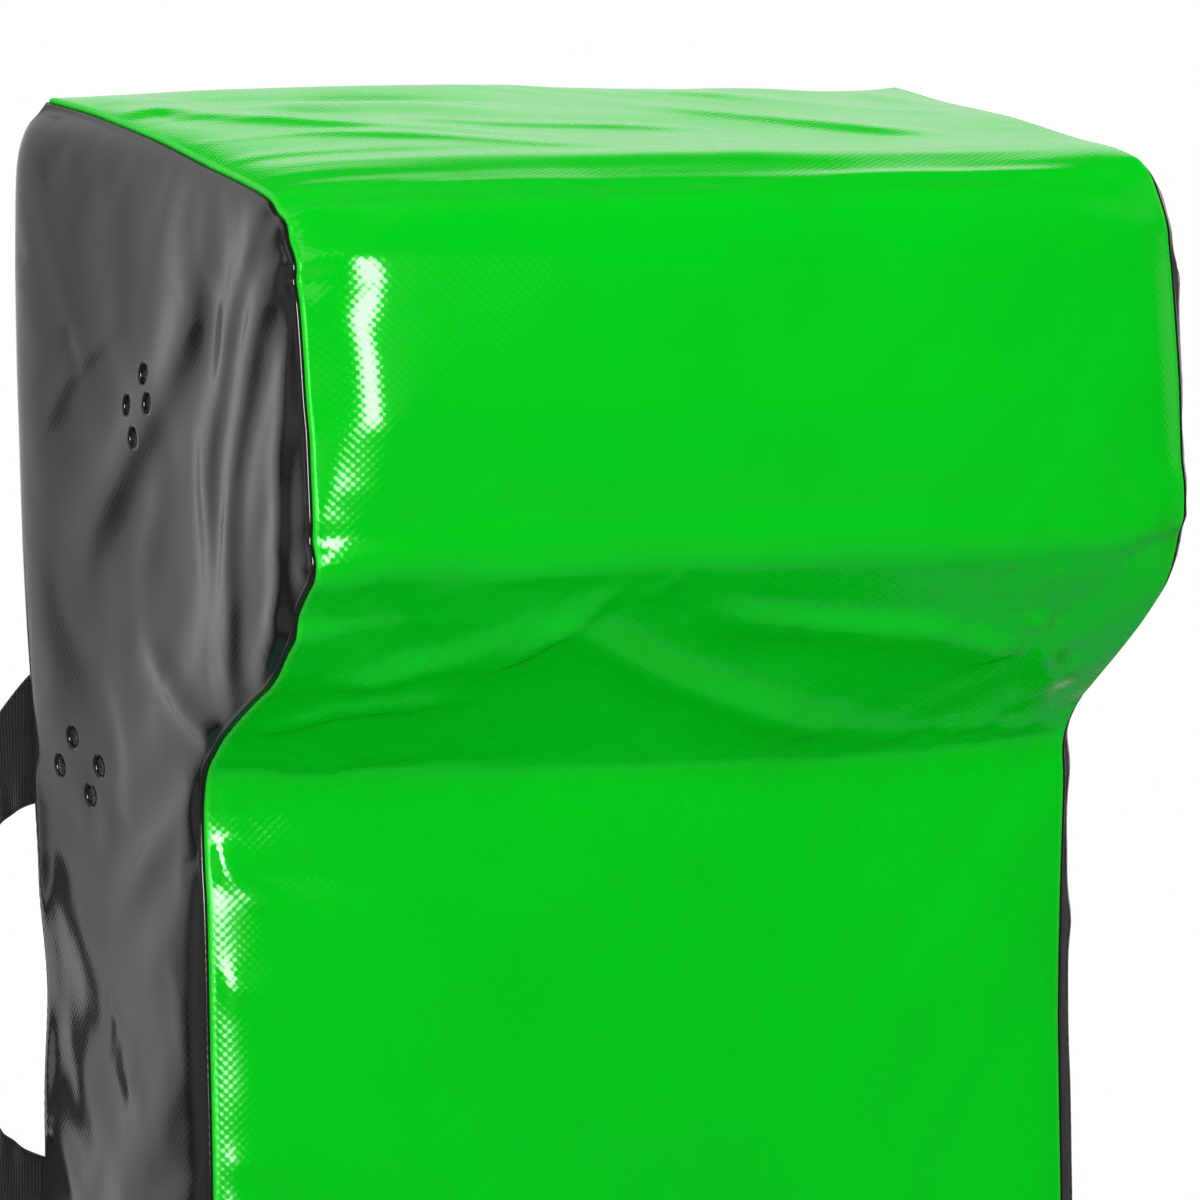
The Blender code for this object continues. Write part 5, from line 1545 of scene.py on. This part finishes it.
def handle(side, name, body):
    far = [(0.0006, 0.1535), (0.0170, 0.1400), (0.0420, 0.1080), (0.0700, 0.0620), (0.0840, 0.0310), (0.0860, 0.0)]
    near = [(0.0006, 0.0858), (0.0170, 0.0810), (0.0330, 0.0690), (0.0480, 0.0500), (0.0580, 0.0260), (0.0600, 0.0)]
    far += [(s, -z) for s, z in far[-2::-1]]
    near += [(s, -z) for s, z in near[-2::-1]]
    count = 168
    far, near = smooth_steps(far, count), smooth_steps(near, count)
    width = np.linalg.norm(near - far, axis=1)
    e = (near - far) / width[:, None]
    middle = (far + near) / 2
    run = np.concatenate([[0], np.cumsum(np.linalg.norm(np.diff(middle, axis=0), axis=1))])
    folded = smoothstep(middle[:, 0], 0.020, 0.056)
    flap = 0.0035 + 0.0208 * folded
    half_t = 0.00080
    apart = 0.00190 + 0.0007 * folded  # between the middles of the two layers
    # the strap's own section: from its inner edge to the fold, round it, and back over itself
    na, nu, nb = 18, 9, 10
    p = np.zeros((count + 1, na + nu + nb))
    q = np.zeros_like(p)
    for k in range(count + 1):
        r = apart[k] / 2
        a = np.linspace(width[k], r, na)
        belly = 0.0006 * folded[k] * np.sin(np.pi * (a - r) / (width[k] - r))
        p[k, :na], q[k, :na] = a, r + belly
        turn = np.linspace(0, math.pi, nu + 2)[1:-1]
        p[k, na : na + nu], q[k, na : na + nu] = r - r * np.sin(turn), r * np.cos(turn)
        b = np.linspace(r, flap[k], nb)
        p[k, na + nu :], q[k, na + nu :] = b, -r - 0.0006 * folded[k] * np.sin(np.pi * (b - r) / (width[k] - r))
    lift = 0.0014 * noise(run / 0.055, np.zeros(count + 1), 71 + side) * smoothstep(middle[:, 0], 0.004, 0.030)
    # edgewise bends make the inner edge ripple a little
    bend = np.exp(-(((middle[:, 0] - 0.030) / 0.014) ** 2)) * np.sign(np.linspace(1, -1, count + 1)) ** 2
    edge = np.clip((p - 0.55 * width[:, None]) / (0.45 * width[:, None]), 0, 1) ** 1.5
    front = np.arange(p.shape[1])[None, :] < na
    ripple = 0.0011 * (bend * np.sin(run * 2 * math.pi / 0.017 + 0.6))[:, None] * edge * front
    q = q + lift[:, None] + ripple
    dp, dq = np.gradient(p, axis=1), np.gradient(q, axis=1)
    l = np.hypot(dp, dq)
    np_, nq = dq / l, -dp / l
    taper = np.ones(p.shape[1])
    taper[[0, -1]] = 0.45
    taper[[1, -2]] = 0.95
    out = np.array([side * math.sqrt(0.5), math.sqrt(0.5)])
    across = np.array([-out[1], out[0]]) * -side

    def place(row_far, row_e, pp, qq):
        s = row_far[..., 0] + row_e[..., 0] * pp
        z = row_far[..., 1] + row_e[..., 1] * pp
        return np.stack([side * (HALF_W + 0.0006) + out[0] * s + across[0] * qq, BACK_Y + 0.0006 + out[1] * s + across[1] * qq, HANDLE_Z + z], -1)

    outer = place(far[:, None], e[:, None], p + np_ * half_t * taper, q + nq * half_t * taper)
    inner = place(far[:, None], e[:, None], p - np_ * half_t * taper, q - nq * half_t * taper)
    ring = np.concatenate([outer, inner[:, ::-1]], 1)
    rows, cols = ring.shape[:2]
    index = np.arange(rows * cols).reshape(rows, cols)
    quads = np.stack([index[:-1], np.roll(index, -1, axis=1)[:-1], np.roll(index, -1, axis=1)[1:], index[1:]], -1).reshape(-1, 4)
    m = p.shape[1]
    caps = [[index[end, j], index[end, j + 1], index[end, cols - 2 - j], index[end, cols - 1 - j]] for end in (0, -1) for j in range(m - 1)]
    arc = np.concatenate([np.zeros((rows, 1)), np.cumsum(np.hypot(np.diff(p, axis=1), np.diff(q, axis=1)), axis=1)], 1)
    coords = np.stack([np.concatenate([arc, arc[:, ::-1]], 1), np.broadcast_to(run[:, None], (rows, cols))], -1)
    mesh = raw_mesh(name, ring.reshape(-1, 3), np.vstack([quads, np.array(caps)]), coords.reshape(-1, 2))
    bm = bmesh.new()
    bm.from_mesh(mesh)
    bmesh.ops.recalc_face_normals(bm, faces=bm.faces[:])
    bm.to_mesh(mesh)
    bm.free()
    mesh.shade_smooth()
    made = piece(name, mesh, WEB, body=body, stands_for=(body,))
    # two rows along the grip on each face, and two rows beside the corner seam
    lines = []
    grip = np.where(folded > 0.97)[0]
    up = np.array([across[0], across[1], 0.0])
    for pp, face in ((0.0032, 1), (0.0215, 1), (0.0032, -1), (0.0215, -1)):
        qq = (apart[grip] / 2 + 0.0006 * np.sin(np.pi * pp / width[grip])) * face + lift[grip] + half_t * face
        lines.append((place(far[grip], e[grip], np.full(len(grip), pp), qq), np.tile(up * face, (len(grip), 1))))
    for row in (5, 9, count - 5, count - 9):
        for face in (1,):
            pp = np.linspace(0.004, width[row] - 0.003, 24)
            qq = apart[row] / 2 * face + lift[row] + half_t * face
            lines.append((place(far[row][None], e[row][None], pp, np.full(24, qq)), np.tile(up * face, (24, 1))))
    stitches(name + "_stitching", lines, body=body, length=0.0036, radius=0.00042)
    return made


handle(-1, "left_grip_strap", "left_handle")
handle(1, "right_grip_strap", "right_handle")

# ---- zip ------------------------------------------------------------------
TAPE_IN, TAPE_OUT, TAPE_Y = 0.0031, 0.0160, 0.1015
CHAIN_Z = (0.052, 0.885)


def zip_tape(side, name, stands_for):
    across_ = np.array([0.0, 0.0003, 0.0010, 0.0020, 0.0032, 0.0045, 0.0070, 0.0100, 0.0126, 0.0129])
    top = np.array([-0.0003, 0.00005, 0.00015, 0.0, 0.0, 0.0, 0.0, 0.0, 0.0, -0.0003])
    zz = np.linspace(0.0018, 0.9290, 310)
    X_, Z_ = np.meshgrid(across_, zz)
    upper = TAPE_Y + top[None, :] + 0.00012 * noise(X_ / 0.006, Z_ / 0.012, 81 + side)
    lower = np.full_like(upper, TAPE_Y - 0.0008) + np.where((np.arange(10) % 9 == 0), 0.00025, 0.0)[None, :]
    ring = np.concatenate([np.stack([side * (TAPE_IN + X_), upper, Z_], -1), np.stack([side * (TAPE_IN + X_), lower, Z_], -1)[:, ::-1]], 1)
    rows, cols = ring.shape[:2]
    index = np.arange(rows * cols).reshape(rows, cols)
    quads = np.stack([index[:-1], np.roll(index, -1, axis=1)[:-1], np.roll(index, -1, axis=1)[1:], index[1:]], -1).reshape(-1, 4)
    caps = [[index[end, j], index[end, j + 1], index[end, cols - 2 - j], index[end, cols - 1 - j]] for end in (0, -1) for j in range(9)]
    coords = np.stack([np.concatenate([X_, X_[:, ::-1]], 1), np.concatenate([Z_, Z_], 1)], -1)
    mesh = raw_mesh(name, ring.reshape(-1, 3), np.vstack([quads, np.array(caps)]), coords.reshape(-1, 2))
    bm = bmesh.new()
    bm.from_mesh(mesh)
    bmesh.ops.recalc_face_normals(bm, faces=bm.faces[:])
    bm.to_mesh(mesh)
    bm.free()
    mesh.shade_smooth()
    return piece(name, mesh, TAPE, stands_for=stands_for)


zip_tape(-1, "left_zip_tape", ("zip_tape_left",))
zip_tape(1, "right_zip_tape", ("zip_tape_right",))

tooth = [(0.0, -0.72), (0.0, 0.72), (1.15, 0.72), (1.70, 0.42), (2.25, 0.42), (2.65, 0.66), (3.25, 0.62), (3.60, 0.30), (3.60, -0.30),
         (3.25, -0.62), (2.65, -0.66), (2.25, -0.42), (1.70, -0.42), (1.15, -0.72)]
tooth = np.array(tooth) / 1000
layers = [(0.1008, 0.90), (0.1011, 1.0), (0.1027, 1.0), (0.1031, 0.90), (0.1033, 0.68)]
pts, faces = [], []
PITCH = 0.0030
steps = int((CHAIN_Z[1] - CHAIN_Z[0] - 0.003) / PITCH)
for side in (-1, 1):
    for k in range(steps):
        z0 = CHAIN_Z[0] + 0.0009 + k * PITCH + (0.0015 if side > 0 else 0.0)
        base = len(pts)
        for y, share in layers:
            for a, b in tooth:
                mid = 0.0018
                a = mid + (a - mid) * (share if share < 1 else 1.0)
                pts.append((side * (0.0030 - a), y, z0 + b * share))
        m = len(tooth)
        for layer in range(len(layers) - 1):
            for i in range(m):
                j = (i + 1) % m
                loop = [base + layer * m + i, base + layer * m + j, base + (layer + 1) * m + j, base + (layer + 1) * m + i]
                faces.append(loop if side > 0 else loop[::-1])
        for layer, flip in ((0, True), (len(layers) - 1, False)):
            start = base + layer * m
            caps = [[0, 1, 2, 13], [13, 2, 3, 12], [12, 3, 4, 11], [11, 4, 5, 10], [10, 5, 6, 9], [9, 6, 7, 8]]
            for cap in caps:
                loop = [start + i for i in cap]
                faces.append(loop if (side > 0) != flip else loop[::-1])
pts = np.array(pts)
mesh = raw_mesh("zip_teeth_row", pts, faces, pts[:, [0, 2]])
bm = bmesh.new()
bm.from_mesh(mesh)
bmesh.ops.recalc_face_normals(bm, faces=bm.faces[:])
bm.to_mesh(mesh)
bm.free()
for poly in mesh.polygons:
    poly.use_smooth = False
piece("zip_teeth_row", mesh, TEETH, stands_for=("zip_chain",))

rows = []
for side in (-1, 1):
    for t in (0.0028, 0.0078):
        z = np.linspace(0.005, 0.926, 400)
        line = back_point(side, np.full(400, t), z)
        rows.append((line, np.tile([0.0, 1.0, 0.0], (400, 1))))
stitches("zip_hem_stitching", rows)

for name in ("zip_slider", "zip_pull", "zip_bottom_stop", "zip_top_stop"):
    node = frame["nodes"][name]
    node.data.materials.clear()
    node.data.materials.append(METAL)
    soften = node.modifiers.new("edges", "BEVEL")
    soften.width = 0.00022
    soften.segments = 2
    soften.limit_method = "ANGLE"
    soften.angle_limit = math.radians(40)
